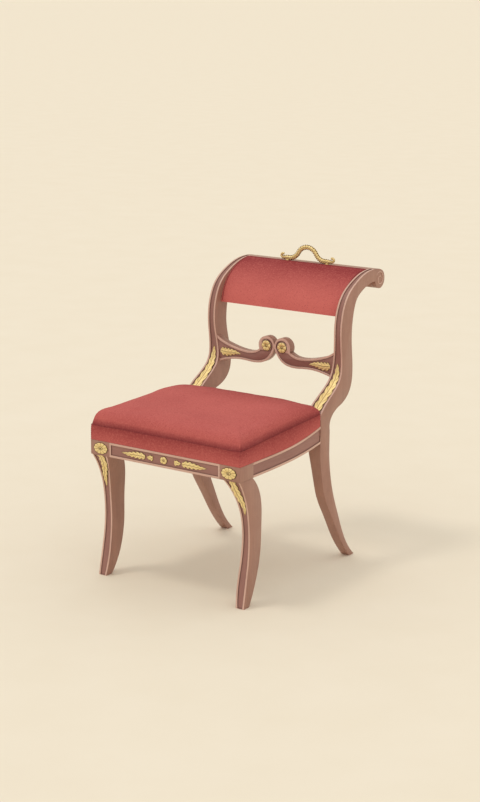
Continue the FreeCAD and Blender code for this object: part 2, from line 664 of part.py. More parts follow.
def arm_tenon(gap=0.0):
    thick = TENON_THICK / 2 + gap
    middle = ARM_FACE + ARM_THICK / 2
    return box(STILE_CREST_INNER - STUB, STILE_CREST_INNER + STUB + gap, middle - thick, middle + thick,
               EYE.z - ARM_FALL * 0.8 - gap, EYE.z - ARM_FALL * 0.12 + gap)


DOWEL_RADIUS = 3.0
DOWEL_HALF = 12.0
dowel_start = Vector(-DOWEL_HALF, ARM_FACE + ARM_THICK / 2, EYE.z)
dowel_end = Vector(DOWEL_HALF, ARM_FACE + ARM_THICK / 2, EYE.z)
arm = arm_body().fuse(arm_tenon()).removeSplitter()
dowel_room = Vector(1, 0, 0)
arm = arm.cut(rod(DOWEL_RADIUS + GLUE_GAP, dowel_start - dowel_room, dowel_end + dowel_room, 12))
stile = stile.cut(arm_tenon(GLUE_GAP))
pieces["volute_dowel"] = rod(DOWEL_RADIUS, dowel_start, dowel_end, 12)

# ---- crest: a curved board between the stiles, a roll behind it, a pad and its cover
PANEL_LOW = CREST_TOP - CREST_PANEL
PANEL_HIGH = SEAT_DEPTH + ROLL_REACH - CREST_PANEL_END


def panel_point(out, drop, share):
    """A point of the panel's face: the stiles' own line, moved back by a share of the set-back."""
    return crest_point(out, drop) + BACK * CREST_SET_BACK * share


CREST_FACE = spline([panel_point(-0.03, 1, 1), panel_point(0.014, 0.585, 1), panel_point(0.133, 0.337, 0.8),
                     panel_point(0.362, 0.146, 0.4), panel_point(0.629, 0.028, 0.1),
                     panel_point(0.838, 0, 0)])


def crest_layer(start, end, half_width, low=0.0, high=0.0):
    """A layer behind the panel's face, between the panel's lower and upper edges."""
    slab = layer(CREST_FACE, start, end, -half_width, half_width)
    return slab.common(box(-FAR, FAR, -FAR, PANEL_HIGH - high, PANEL_LOW + low, FAR))


crest_roll = across_x(STILE_PROFILE, -STILE_CREST_INNER, STILE_CREST_INNER)
crest_roll = crest_roll.common(box(-FAR, FAR, PANEL_HIGH, FAR, CREST_TOP - NEAR, FAR))
crest_board = crest_layer(CREST_PAD, CREST_PAD + CREST_BOARD, STILE_CREST_INNER)


def crest_tenon(gap=0.0):
    """Board tenon at the right-hand end, in the upright part of the board."""
    near = CREST_PAD + (CREST_BOARD - TENON_THICK) / 2
    slab = layer(CREST_FACE, near - gap, near + TENON_THICK + gap, STILE_CREST_INNER - 1,
                 STILE_CREST_INNER + STUB + gap)
    return slab.common(box(0, FAR, -FAR, FAR, PANEL_LOW + STUB - gap, CREST_TOP - CREST_BEND * 0.4 + gap))


def roll_tenon(gap=0.0):
    """Twelve-sided tenon on the end of the roll."""
    return rod(ROLL_RADIUS * 0.36 + gap, ROLL_CENTRE + SIDE_NORMAL * (STILE_CREST_INNER - 1),
               ROLL_CENTRE + SIDE_NORMAL * (STILE_CREST_INNER + STUB - 2 + gap), 12)


crest_board = crest_board.fuse([crest_tenon(), mirrored(crest_tenon())]).removeSplitter()
crest_roll = crest_roll.fuse([roll_tenon(), mirrored(roll_tenon())]).removeSplitter()
stile = stile.cut(crest_tenon(GLUE_GAP)).cut(roll_tenon(GLUE_GAP))
crest_outer = crest_layer(-CREST_PROUD, CREST_PAD, STILE_CREST_INNER - SOFT_GAP)
crest_inner = crest_layer(COVER - CREST_PROUD, CREST_PAD, STILE_CREST_INNER - SOFT_GAP - COVER, COVER, COVER)
pieces["crest_pad"] = crest_inner
pieces["crest_cover"] = crest_outer.cut(crest_inner)

# ---- gilt handle on the crest
HANDLE_Y = PANEL_HIGH + HANDLE_SIT
HANDLE_Z = CREST_TOP + HANDLE_RADIUS + 0.2
BEND_RADIUS = HANDLE_RISE / (1 - math.cos(HANDLE_SLOPE)) / 2
BEND_START = 2 * BEND_RADIUS * math.sin(HANDLE_SLOPE)
CURL_RADIUS = 9.0
CURL_START = BEND_START + 22.0
CURL_TURN = math.radians(125)
HANDLE_STEP = 9.0           # length of each facet along the bar
KNOB_RADIUS = 6.2


def handle_point(x, rise):
    return Vector(x, HANDLE_Y, HANDLE_Z + rise)


def handle_bend(centre_x, centre_rise, radius, start, end):
    """Stations (x, rise, heading) along one bend; its turn goes from start to end, 0 being flat."""
    steps = max(2, round(abs(end - start) * radius / HANDLE_STEP))
    stations = []
    for i in range(1, steps + 1):
        turn = start + (end - start) * i / steps
        way = 1 if end > start else -1
        along, up = way * radius * math.sin(turn), way * radius * math.cos(turn)
        stations.append((centre_x + along, centre_rise - up, turn))
    return stations


def handle_half():
    """The right half of the handle from the top of the arch to the end of its curl."""
    stations = [(0.0, HANDLE_RISE, 0.0)]
    stations += handle_bend(0, HANDLE_RISE - BEND_RADIUS, BEND_RADIUS, 0, -HANDLE_SLOPE)
    stations += handle_bend(BEND_START, BEND_RADIUS, BEND_RADIUS, -HANDLE_SLOPE, 0)
    stations.append((CURL_START, 0.0, 0.0))
    stations += handle_bend(CURL_START, CURL_RADIUS, CURL_RADIUS, 0, CURL_TURN)
    return stations


def handle_section(x, rise, heading, radius):
    centre = handle_point(x, rise)
    circle = Part.makeCircle(radius, centre, Vector(math.cos(heading), 0, math.sin(heading)))
    return circle.discretize(9)[:-1]


def handle_knob(x, rise, heading):
    """Stations of the swelling that ends each curl."""
    stations = []
    for along, radius in ((2.5, KNOB_RADIUS), (7.0, KNOB_RADIUS), (9.5, KNOB_RADIUS / 2)):
        stations.append((x + math.cos(heading) * along, rise + math.sin(heading) * along, heading, radius))
    return stations


half = [(*station, HANDLE_RADIUS) for station in handle_half()]
half += handle_knob(*half[-1][:3])
stations = [(-x, rise, -heading, radius) for x, rise, heading, radius in reversed(half[1:])] + half
handle = faceted([handle_section(*station) for station in stations])
BOSS_RADIUS = 6.5
BOSS_SINK = 3.0
HANDLE_SCREW = 31.0         # heads of the handle's screws below the crest
handle_screws = []
for hand in (1, -1):
    boss = rod(BOSS_RADIUS, Vector(hand * HANDLE_FEET, HANDLE_Y, CREST_TOP - BOSS_SINK),
               Vector(hand * HANDLE_FEET, HANDLE_Y, HANDLE_Z), 8)
    handle = handle.fuse(boss)
    crest_roll = crest_roll.cut(boss)
    start = Vector(hand * HANDLE_FEET, HANDLE_Y, CREST_TOP - HANDLE_SCREW)
    body = screw(start, UP, HANDLE_SCREW + HANDLE_RADIUS - 2)
    way_in = rod(SCREW_HEAD, start - UP * CREST_THICK, start)
    handle = handle.cut(body)
    crest_roll = crest_roll.cut(body).cut(way_in)
    handle_screws.append(body)
pieces["crest_handle"] = handle.removeSplitter()
pieces["handle_screws"] = group(handle_screws)

# ---- gilt mounts
HEART_RISE = 1.6
ROSETTE_X = HALF - BLOCK_WIDTH / 2 - 3
RAIL_MIDDLE = RAIL_TOP - RAIL_HEIGHT / 2


def flat_mount(outline, seat_y, x, z, thick=MOUNT_THICK):
    """A mount on an upright face, with one pin, and the pin's hole."""
    hole = pin_hole(x, z, seat_y - thick)
    return across_y(outline, seat_y - thick, seat_y).cut(hole), hole


def rosette(centre, reach_x, reach_z, seat_y, petals):
    """Petals with a raised heart."""
    mount, hole = flat_mount(petal_edge(centre, reach_x, reach_z, petals), seat_y, centre.x, centre.z,
                             SURFACE_MOUNT)
    base = Vector(centre.x, seat_y - SURFACE_MOUNT, centre.z)
    heart = rod(min(reach_x, reach_z) * 0.32, base, base - FRONT_NORMAL * HEART_RISE, 8)
    return mount.fuse(heart.cut(hole)), hole


def curved_mount(curve, outline, width, pin_levels, axis_x):
    """A mount cast to the floor and width of a channel, with its pins, and their holes."""
    mount = layer(curve, SINK - MOUNT_THICK, SINK).common(across_y(outline)).common(width)
    holes = []
    for z in pin_levels:
        x = axis_x(z)
        holes.append(pin_hole(x, z, face_depth(curve, z) + SINK - MOUNT_THICK))
    return mount.cut(holes), holes


mount, hole = rosette(front(ROSETTE_X, RAIL_MIDDLE), BLOCK_WIDTH * 0.345, RAIL_HEIGHT * 0.36, 0, 8)
pair("corner_rosette", mount)
leg = leg.cut(hole)

PANEL_HALF = RAIL_HEIGHT / 2 - BEAD - 1
root, tip = front(BLOCK_INNER * 0.34, RAIL_MIDDLE), front(BLOCK_INNER * 0.77, RAIL_MIDDLE)
spray, hole = flat_mount(leaf_edge(root, tip, PANEL_HALF * 0.76, 5), SINK, BLOCK_INNER * 0.47, RAIL_MIDDLE)
pair("rail_spray", spray)
rail = rail.cut([hole, mirrored(hole)])
root, tip = front(BLOCK_INNER * 0.2, RAIL_MIDDLE), front(BLOCK_INNER * 0.3, RAIL_MIDDLE)
bud, hole = flat_mount(leaf_edge(root, tip, PANEL_HALF * 0.55, 2), SINK, BLOCK_INNER * 0.235, RAIL_MIDDLE)
pair("rail_bud", bud)
rail = rail.cut([hole, mirrored(hole)])
flower, hole = rosette(front(0, RAIL_MIDDLE), PANEL_HALF * 0.65, PANEL_HALF * 0.65, SINK, 6)
pieces["rail_flower"] = flower
rail = rail.cut(hole)

LEG_LEAF = 102.0            # length of the leaf under each front block
LEG_LEAF_WIDTH = 25.0


def leg_leaf_x(z):
    lean = (LEG_TOP_WIDTH - LEG_KNEE_WIDTH) * 0.54
    return HALF - LEG_INSET - LEG_TOP_WIDTH / 2 + lean * (RAIL_BOTTOM - z) / LEG_LEAF


leaf_top = RAIL_BOTTOM - LEG_INSET
leaf_low = leaf_top - LEG_LEAF
leg_outline = leaf_edge(front(leg_leaf_x(leaf_top), leaf_top), front(leg_leaf_x(leaf_low), leaf_low),
                        LEG_LEAF_WIDTH / 2, 4, 0.85)
pin_levels = (leaf_top - LEG_LEAF * 0.2, leaf_top - LEG_LEAF * 0.65)
width = channel_width(FRONT_LEG_INNER, LEG_INSET, MOUNT_CLEAR)
mount, holes = curved_mount(FRONT_LEG_FACE, leg_outline, width, pin_levels, leg_leaf_x)
pair("leg_leaf", mount)
leg = leg.cut(holes)

STILE_LEAF_LOW = 66.0       # root and tip of the stile's leaf above the seat rails
STILE_LEAF_HIGH = 184.0
STILE_LEAF_WIDTH = 30.0


def stile_leaf_x(z):
    share = (z - RAIL_TOP - STILE_LEAF_LOW) / (STILE_LEAF_HIGH - STILE_LEAF_LOW)
    low = (STILE_SEAT_INNER + outer_x(SEAT_DEPTH)) / 2
    high = (STILE_CREST_INNER + outer_x(ARM_FACE)) / 2 - BEAD / 2
    return low + (high - low) * share


low, high = RAIL_TOP + STILE_LEAF_LOW, RAIL_TOP + STILE_LEAF_HIGH
stile_outline = leaf_edge(front(stile_leaf_x(low), low), front(stile_leaf_x(high), high),
                          STILE_LEAF_WIDTH / 2, 4, 0.9)
pin_levels = (low + (high - low) * 0.2, low + (high - low) * 0.7)
width = channel_width(STILE_INNER, 0.0, MOUNT_CLEAR)
mount, holes = curved_mount(STILE_FACE, stile_outline, width, pin_levels, stile_leaf_x)
pair("stile_leaf", mount)
stile = stile.cut(holes)

root = arm_point(0.91, -0.47)
spray, hole = flat_mount(leaf_edge(root, arm_point(0.51, -0.54), ARM_FALL * 0.236, 5, 0.8),
                         ARM_FACE + ARM_GROOVE, root.x - 24, root.z, MOUNT_THICK - 0.6)
pair("bracket_spray", spray)
arm = arm.cut(hole)
mount, hole = rosette(EYE, EYE_RADIUS - 1.5, EYE_RADIUS - 1.5, ARM_FACE, 8)
pair("volute_rosette", mount)
arm = arm.cut(hole)
pins.extend([mirrored(one) for one in pins if abs(one.CenterOfMass.x) > 1])
pieces["mount_pins"] = group(pins)

pair("front_leg", leg)
pair("rear_stile", stile)
pair("side_seat_rail", rail_right)
pair("back_scroll", arm)
pieces["front_seat_rail"] = rail
pieces["rear_seat_rail"] = rail_rear
pieces["crest_board"] = crest_board
pieces["crest_roll"] = crest_roll

# ---- the lift-out seat: a jointed frame, webbing, base cloth, stuffing and cover
FRAME_BOTTOM = SHELF + COVER + SOFT_GAP
FRAME_TOP = FRAME_BOTTOM + SEAT_FRAME_THICK
FRAME_EDGE = LIP + SEAT_FRAME_GAP + COVER           # outer edge of the frame inside the chair's side
FRAME_FRONT = FRAME_EDGE
FRAME_BACK = REAR_RAIL_Y - FRAME_EDGE
STILE_CLEAR = 0.8           # between the seat and the stiles that it is notched round


def seat_plan(inset, z0, z1):
    """The seat's outline, notched round the stiles, as a prism."""
    notch_y = SEAT_DEPTH - STILE_CLEAR - max(0, inset - LIP)
    notch_x = STILE_SEAT_INNER - STILE_CLEAR - max(0, inset - LIP)
    half = [(outer_x(inset, inset), inset), (outer_x(notch_y, inset), notch_y), (notch_x, notch_y),
            (notch_x, REAR_RAIL_Y - inset)]
    corners = half + [(-x, y) for x, y in reversed(half)]
    return plan_prism(corners, z0, z1)


whole_frame = seat_plan(FRAME_EDGE, FRAME_BOTTOM, FRAME_TOP)
FRONT_BAR = FRAME_FRONT + SEAT_FRAME_WIDTH
REAR_BAR = SEAT_DEPTH - SEAT_FRAME_WIDTH
FRAME_MIDDLE = (FRAME_BOTTOM + FRAME_TOP) / 2
lower_half = box(-FAR, FAR, -FAR, FAR, -FAR, FRAME_MIDDLE)
upper_half = box(-FAR, FAR, -FAR, FAR, FRAME_MIDDLE, FAR)
side_bars = whole_frame.common(half_plan(0)).cut(half_plan(FRAME_EDGE + SEAT_FRAME_WIDTH))
bar_ends = box(-FAR, FAR, -FAR, FRONT_BAR, -FAR, FAR).fuse(box(-FAR, FAR, REAR_BAR, FAR, -FAR, FAR))
front_bar = whole_frame.common(box(-FAR, FAR, -FAR, FRONT_BAR, -FAR, FAR))
rear_bar = whole_frame.common(box(-FAR, FAR, REAR_BAR, FAR, -FAR, FAR))
lapped_ends = [side_bars.common(upper_half), mirrored(side_bars).common(upper_half)]
pieces["seat_frame_front"] = front_bar.cut(lapped_ends)
pieces["seat_frame_rear"] = rear_bar.cut(lapped_ends)
pair("seat_frame", side_bars.cut(bar_ends.common(lower_half)))

WEB_Z = FRAME_TOP
lengthwise = []
for x in (-1.5, -0.5, 0.5, 1.5):
    middle = x * WEB_WIDTH * 1.45
    lengthwise.append(box(middle - WEB_WIDTH / 2, middle + WEB_WIDTH / 2, FRAME_FRONT + 8, FRAME_BACK - 8,
                          WEB_Z, WEB_Z + WEB_THICK))
crosswise = []
span = FRONT_BAR - 20, REAR_BAR + 20
for i in range(4):
    middle = span[0] + (span[1] - span[0]) * (i + 0.5) / 4
    half = outer_x(middle + WEB_WIDTH / 2, FRAME_EDGE + 8)
    crosswise.append(box(-half, half, middle - WEB_WIDTH / 2, middle + WEB_WIDTH / 2, WEB_Z + WEB_THICK,
                         WEB_Z + 2 * WEB_THICK))
pieces["seat_webbing_lengthwise"] = group(lengthwise)
pieces["seat_webbing_crosswise"] = group(crosswise)
CLOTH_LOW = WEB_Z + 2 * WEB_THICK
CLOTH_HIGH = CLOTH_LOW + 1.0
pieces["seat_base_cloth"] = seat_plan(FRAME_EDGE + 3, CLOTH_LOW, CLOTH_HIGH)


def cushion_section(inset, fall, level):
    """The cushion's outline at one height above its lower edge, climbing towards the stiles."""
    clear = max(inset, STILE_CLEAR)
    rear_y = REAR_RAIL_Y - fall
    notch_y = min(SEAT_DEPTH - clear, rear_y - STILE_CLEAR)
    half = [(outer_x(inset, inset), inset), (outer_x(notch_y, inset), notch_y),
            (STILE_SEAT_INNER - clear, notch_y), (STILE_SEAT_INNER - clear, rear_y)]
    corners = half + [(-x, y) for x, y in reversed(half)]
    return [Vector(x, y, RAIL_TOP + level + SEAT_CLIMB * y / SEAT_DEPTH) for x, y in corners]


def cushion(inset):
    """The upholstered block: an upright border, a crown on it and a foot that drops inside the rails."""
    levels = [(inset, inset, -RAIL_HEIGHT), (inset, inset, BORDER_HEIGHT - inset)]
    for share in (0.42, 0.72, 0.92, 1.0):
        shoulder = CROWN_SHOULDER * (1 - math.sqrt(1 - share ** 2))
        fall = CROWN_FALL * math.asin(share ** 1.67) * 2 / math.pi
        levels.append((inset + shoulder, inset + fall, BORDER_HEIGHT + CROWN * share - inset))
    block = faceted([cushion_section(*level) for level in levels])
    under = Trace(SIDE_RAIL_TOP, -SOFT_GAP - inset, SIDE_NORMAL)
    first, last = under.start, under.end
    above = under.edges + [line(side(-FAR, first.z), first), line(side(-FAR, first.z), side(-FAR, FAR)),
             line(side(-FAR, FAR), side(FAR, FAR)), line(side(FAR, FAR), side(FAR, last.z)),
             line(last, side(FAR, last.z))]
    block = block.common(across_x(face_of(above), -FAR, FAR))
    foot = seat_plan(LIP + SEAT_FRAME_GAP + inset, SHELF + SOFT_GAP + inset, RAIL_TOP + BORDER_HEIGHT / 2)
    return block.fuse(foot).removeSplitter()


TACK_EDGE = 24.0            # tacks from the edge of the seat frame
TACK_HEAD = 3.5
TACK_HEAD_THICK = 0.8
TACK_SHANK = 0.8
TACK_LENGTH = 11.0
TACKS_EACH_SIDE = 4

stuffed = cushion(COVER)
under_frame = seat_plan(FRAME_EDGE, -FAR, CLOTH_HIGH)
open_middle = seat_plan(FRAME_EDGE + TACK_EDGE + 6, -FAR, CLOTH_HIGH)
pieces["seat_stuffing"] = stuffed.cut(under_frame)
pieces["seat_cover"] = cushion(0).cut(stuffed).cut(open_middle)


def tack(x, y):
    """A tack driven up through the turned-under cover into the frame."""
    head_level = SHELF + SOFT_GAP
    foot = Vector(x, y, head_level - TACK_HEAD_THICK)
    shank = rod(TACK_SHANK, foot, foot + UP * TACK_LENGTH, 4)
    return rod(TACK_HEAD, foot, foot + UP * TACK_HEAD_THICK, 4).fuse(shank), shank


tacks, tack_holes = [], []
for i in range(TACKS_EACH_SIDE):
    share = (i + 0.5) / TACKS_EACH_SIDE
    y = BLOCK_DEPTH + (REAR_BAR - BLOCK_DEPTH) * share
    x = (BLOCK_INNER - TACK_EDGE) * (2 * share - 1)
    places = [(outer_x(y, FRAME_EDGE + TACK_EDGE), y), (-outer_x(y, FRAME_EDGE + TACK_EDGE), y),
              (x, FRAME_FRONT + TACK_EDGE), (x, FRAME_BACK - TACK_EDGE)]
    for place in places:
        body, hole = tack(*place)
        tacks.append(body)
        tack_holes.append(hole)
pieces["seat_tacks"] = group(tacks)
for name in ("seat_cover", "seat_frame_front", "seat_frame_rear", "seat_frame_right", "seat_frame_left"):
    pieces[name] = pieces[name].cut(tack_holes)

# ---- store every piece with the origin under the middle of the whole chair
os.makedirs("parts", exist_ok=True)
whole = group(list(pieces.values())).optimalBoundingBox()
centre = Vector((whole.XMin + whole.XMax) / 2, (whole.YMin + whole.YMax) / 2, whole.ZMin)
for name, shape in pieces.items():
    shape.translate(centre * -1)
    shape.exportStep("parts/" + name + ".step")
    print(name, len(shape.Solids), shape.isValid(), round(shape.Volume / 1000, 2))
print("centre", centre, "size", whole.XLength, whole.YLength, whole.ZLength)
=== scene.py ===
import math

import bmesh
import bpy
import numpy as np
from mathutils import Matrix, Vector
from mathutils.bvhtree import BVHTree
from mathutils.noise import noise as lump


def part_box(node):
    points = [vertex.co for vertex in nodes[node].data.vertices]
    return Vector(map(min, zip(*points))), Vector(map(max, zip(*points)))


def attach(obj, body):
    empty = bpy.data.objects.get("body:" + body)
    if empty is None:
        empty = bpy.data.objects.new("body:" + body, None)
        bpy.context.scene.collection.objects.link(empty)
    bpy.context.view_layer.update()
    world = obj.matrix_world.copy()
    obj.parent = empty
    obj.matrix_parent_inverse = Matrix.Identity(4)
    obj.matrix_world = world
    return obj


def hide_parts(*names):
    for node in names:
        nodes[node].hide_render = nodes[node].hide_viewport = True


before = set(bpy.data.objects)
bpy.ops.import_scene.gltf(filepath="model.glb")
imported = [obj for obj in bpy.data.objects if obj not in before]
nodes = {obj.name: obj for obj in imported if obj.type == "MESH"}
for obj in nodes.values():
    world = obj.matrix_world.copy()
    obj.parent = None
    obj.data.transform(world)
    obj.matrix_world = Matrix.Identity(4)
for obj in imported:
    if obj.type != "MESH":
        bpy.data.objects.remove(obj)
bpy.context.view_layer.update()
scene = bpy.context.scene


# ---- The studio: a pale cream floor that runs on out of sight, one broad soft lamp high on the
# left and an even room light.  The camera stands well to the right of the chair's front.
FLOOR_SIDE, LAMP_FROM = 300, (-0.62, -0.64, 2.1)
CAMERA_AT, CAMERA_DOWN, CAMERA_TURN = (3.01455, -4.19690, 1.72886), 13.579, 35.844     # degrees


class Socket:
    """An output of a node, which can be used in sums."""

    def __init__(self, tree, output):
        self.tree, self.output = tree, output

    def maths(self, operation, *values):
        return self.tree.node("ShaderNodeMath", {"operation": operation}, *values)

    def __add__(self, other):
        return self.maths("ADD", self, other)

    def __radd__(self, other):
        return self.maths("ADD", other, self)

    def __sub__(self, other):
        return self.maths("SUBTRACT", self, other)

    def __rsub__(self, other):
        return self.maths("SUBTRACT", other, self)

    def __mul__(self, other):
        return self.maths("MULTIPLY", self, other)

    def __rmul__(self, other):
        return self.maths("MULTIPLY", other, self)

    def clamped(self):
        return self.tree.node("ShaderNodeClamp", {}, self)


class Tree:
    """A node tree under construction."""

    def __init__(self, tree):
        self.nodes, self.links = tree.nodes, tree.links

    def node(self, kind, settings, *values, out=0, **named):
        """Adds a node with its settings and the values or links of its inputs."""
        made = self.nodes.new(kind)
        for key, value in settings.items():
            setattr(made, key, value)
        named = {name.replace("_", " "): value for name, value in named.items()}
        for socket, value in [*enumerate(values), *named.items()]:
            if isinstance(value, Socket):
                self.links.new(value.output, made.inputs[socket])
            elif value is not None:
                made.inputs[socket].default_value = value
        return Socket(self, made.outputs[out])


class Finish(Tree):
    """A material under construction; constants go on its shader by name."""

    def __init__(self, name, **constants):
        self.material = bpy.data.materials.new(name)
        self.material.use_nodes = True
        super().__init__(self.material.node_tree)
        self.shader = self.nodes["Principled BSDF"]
        for socket, value in constants.items():
            self.shader.inputs[socket.replace("_", " ")].default_value = value

    def place(self, stretch=(1, 1, 1), turn=(0, 0, 0)):
        where = self.node("ShaderNodeTexCoord", {}, out="Object")
        return self.node("ShaderNodeMapping", {}, where, Rotation=turn, Scale=stretch)

    def noise(self, where, scale, detail=3.0, rough=0.55):
        return self.node("ShaderNodeTexNoise", {}, where, None, scale, detail, rough, out="Fac")

    def stripes(self, where, direction, scale, wobble):
        return self.node("ShaderNodeTexWave", {"bands_direction": direction}, where, scale, wobble, out="Fac")

    def attribute(self, name):
        return self.node("ShaderNodeAttribute", {"attribute_name": name}, out="Fac")

    def step(self, low, high, value):
        """0 below low, 1 above high, smooth between them."""
        return self.node("ShaderNodeMapRange", {"interpolation_type": "SMOOTHSTEP"}, value, low, high)

    def mix(self, share, one, other):
        """Colours have their own inputs, after those for numbers and vectors."""
        colours = [value if isinstance(value, Socket) else (*value, 1) for value in (one, other)]
        skipped = [None] * 5
        return self.node("ShaderNodeMix", {"data_type": "RGBA"}, share, *skipped, *colours, out=2)

    def bump(self, height, distance, strength):
        return self.node("ShaderNodeBump", {}, Strength=strength, Distance=distance, Height=height)

    def painted_occlusion_shade(self, reach):
        """How far a spot is shut in by what stands within the reach, for painting shade into a colour."""
        open_share = self.node("ShaderNodeAmbientOcclusion", {"samples": 6, "only_local": True},
                               Distance=reach, out="AO")
        return 1 - open_share

    def done(self, **inputs):
        for socket, value in inputs.items():
            self.links.new(value.output, self.shader.inputs[socket.replace("_", " ")])
        return self.material


def paint(*rgb):
    """A colour by its 0 to 255 parts, as the shaders want it."""
    return tuple((c / 255 / 12.92) if c <= 10 else ((c / 255 + 0.055) / 1.055) ** 2.4 for c in rgb)


floor_paint = Finish("floor_paint", Roughness=0.9, Specular_IOR_Level=0.1)
mottle = floor_paint.noise(floor_paint.place(), 5.0)
floor_paint.done(Base_Color=floor_paint.mix(mottle, paint(236, 224, 202), paint(240, 229, 209)))
bpy.ops.mesh.primitive_plane_add(size=FLOOR_SIDE)
floor = bpy.context.object
floor.name = "floor"
floor.data.materials.append(floor_paint.material)

room = bpy.data.worlds.new("room")
room.use_nodes = True
sky = Tree(room.node_tree)
daylight = sky.nodes["Background"]
daylight.inputs["Color"].default_value = (*paint(250, 249, 246), 1)
daylight.inputs["Strength"].default_value = 0.96
backdrop = sky.node("ShaderNodeBackground", {}, (*paint(238, 227, 206), 1))
seen = sky.node("ShaderNodeLightPath", {}, out="Is Camera Ray")
for kind in ("Is Glossy Ray", "Is Transmission Ray"):
    seen = seen.maths("MAXIMUM", seen, sky.node("ShaderNodeLightPath", {}, out=kind))
shown = sky.node("ShaderNodeMixShader", {}, seen, Socket(sky, daylight.outputs[0]), backdrop)
sky.links.new(shown.output, sky.nodes["World Output"].inputs["Surface"])
scene.world = room
lamp = bpy.data.lights.new("window", "SUN")
lamp.energy = 0.44
lamp.angle = math.radians(12)
lamp.color = (1.0, 0.97, 0.92)
window = bpy.data.objects.new("window", lamp)
window.rotation_mode = "QUATERNION"
window.rotation_quaternion = Vector(LAMP_FROM).to_track_quat("Z", "Y")
scene.collection.objects.link(window)

lens = bpy.data.cameras.new("camera")
lens.sensor_width = 36
lens.lens = 81.98
camera = bpy.data.objects.new("camera", lens)
camera.location = CAMERA_AT
camera.rotation_euler = (math.radians(90 - CAMERA_DOWN), 0, math.radians(CAMERA_TURN))
scene.collection.objects.link(camera)
scene.camera = camera
scene.view_settings.view_transform = "Standard"


# ---- The show wood: reddish brown mahogany, waxed. Legs, stiles, rails, arms and crest are sawn
# from the plank, so the grain runs straight; each has round beads along its edges and a channel
# sunk between them.  The beads are painted pale as highlight, and the channels a little darker and
# the recesses dark as painted shade.
EDGE_ROUND, EASED_FROM = 0.0010, math.radians(28)
FOOT_LIP, FOOT_SHARE = 0.002, 0.2   # edges this near the floor are eased only so much
SAME_POINT, SAME_PLANE, NO_WIDTH = 2e-6, math.radians(0.4), 1e-6
CHANNEL_WIDEST, ABOVE_FACE, BEAD_NEAR = 0.034, 0.0011, 0.0075
LOOKS, FACING, LEVEL_WITH = 24, 0.6, 0.8    # ways looked from a face; how squarely faces meet


def places(mesh):
    return np.array([v.co for v in mesh.vertices])


def add_piece(name, mesh):
    piece = bpy.data.objects.new(name, mesh)
    scene.collection.objects.link(piece)
    return piece


def plain(piece):
    """Turns a piece with its modifiers into a plain mesh."""
    made = bpy.data.meshes.new_from_object(piece.evaluated_get(bpy.context.evaluated_depsgraph_get()))
    piece.modifiers.clear()
    piece.data = made
    return piece


def smoothed(piece, degrees):
    piece.data.shade_smooth()
    piece.data.set_sharp_from_angle(angle=math.radians(degrees))
    return piece


def shell_of(*meshes):
    shell = bmesh.new()
    for mesh in meshes:
        shell.from_mesh(mesh)
    return shell


def into_mesh(shell, mesh):
    shell.to_mesh(mesh)
    shell.free()
    return mesh


def solid_tree(*meshes):
    shell = shell_of(*meshes)
    tree = BVHTree.FromBMesh(shell)
    shell.free()
    return tree


def whole_faces(mesh):
    """A solid's loose triangles as a shell of whole faces."""
    shell = shell_of(mesh)
    bmesh.ops.remove_doubles(shell, verts=shell.verts, dist=SAME_POINT)
    bmesh.ops.dissolve_limit(shell, angle_limit=SAME_PLANE, verts=shell.verts, edges=shell.edges)
    return shell


def closed_up(shell, within):
    """Merges a shell's doubles, drops what has no width and turns its faces outwards."""
    bmesh.ops.remove_doubles(shell, verts=shell.verts, dist=within)
    bmesh.ops.dissolve_degenerate(shell, edges=shell.edges, dist=NO_WIDTH)
    bmesh.ops.recalc_face_normals(shell, faces=shell.faces)


def marked(mesh, name, values, domain="POINT"):
    """Notes a value for each point or face, which the finishes read."""
    mesh.attributes.new(name, "FLOAT", domain).data.foreach_set("value", np.asarray(values, np.float32))


def eased_copy(member):
    """A copy of a solid's mesh with its channels and beads marked and its edges eased."""
    mesh = nodes[member].data.copy()
    mesh.materials.clear()
    if mesh.has_custom_normals:
        mesh.attributes.remove(mesh.attributes["custom_normal"])
    shell = whole_faces(mesh)
    eased = shell.edges.layers.float.new("bevel_weight_edge")
    for edge in shell.edges:
        if edge.is_manifold and edge.is_convex and edge.calc_face_angle() > EASED_FROM:
            edge[eased] = FOOT_SHARE if max(v.co.z for v in edge.verts) < FOOT_LIP else 1.0
    into_mesh(shell, mesh)
    for zone, share in worked_faces(mesh).items():
        marked(mesh, zone, share, "FACE")
    piece = add_piece(member + ".finished", mesh)
    easing = piece.modifiers.new("easing", "BEVEL")
    easing.width = EDGE_ROUND
    easing.segments = 2
    easing.limit_method = "WEIGHT"
    return plain(piece)


def worked_faces(mesh):
    """1 in "sunk" for each face in a channel, between two walls that face each other, and 1 in
    "bead" for each face of the rounded strips that stand beside a channel."""
    tree = solid_tree(mesh)
    sunk, beads = np.zeros((2, len(mesh.polygons)), np.float32)
    mesh.calc_loop_triangles()
    spots = {part.polygon_index: part.center.copy()
             for part in sorted(mesh.loop_triangles, key=lambda part: part.area)}
    for face in mesh.polygons:
        start = spots[face.index] + face.normal * ABOVE_FACE
        one = face.normal.orthogonal().normalized()
        other = face.normal.cross(one)
        for look in range(LOOKS):
            turn = math.pi * look / LOOKS
            along = one * math.cos(turn) + other * math.sin(turn)
            hits = [(heading, tree.ray_cast(start, heading, CHANNEL_WIDEST)) for heading in (along, -along)]
            if all(hit[0] is not None and hit[1].dot(heading) < -FACING for heading, hit in hits):
                sunk[face.index] = 1
                break
    if sunk.any():
        shell = shell_of(mesh)
        shell.faces.ensure_lookup_table()
        bmesh.ops.delete(shell, geom=[f for f in shell.faces if not sunk[f.index]], context="FACES")
        floors = BVHTree.FromBMesh(shell)
        shell.free()
        for face in mesh.polygons:
            _, normal, _, away = floors.find_nearest(spots[face.index])
            if not sunk[face.index] and away < BEAD_NEAR and normal.dot(face.normal) > LEVEL_WITH:
                beads[face.index] = 1
    return {"sunk": sunk, "bead": beads}


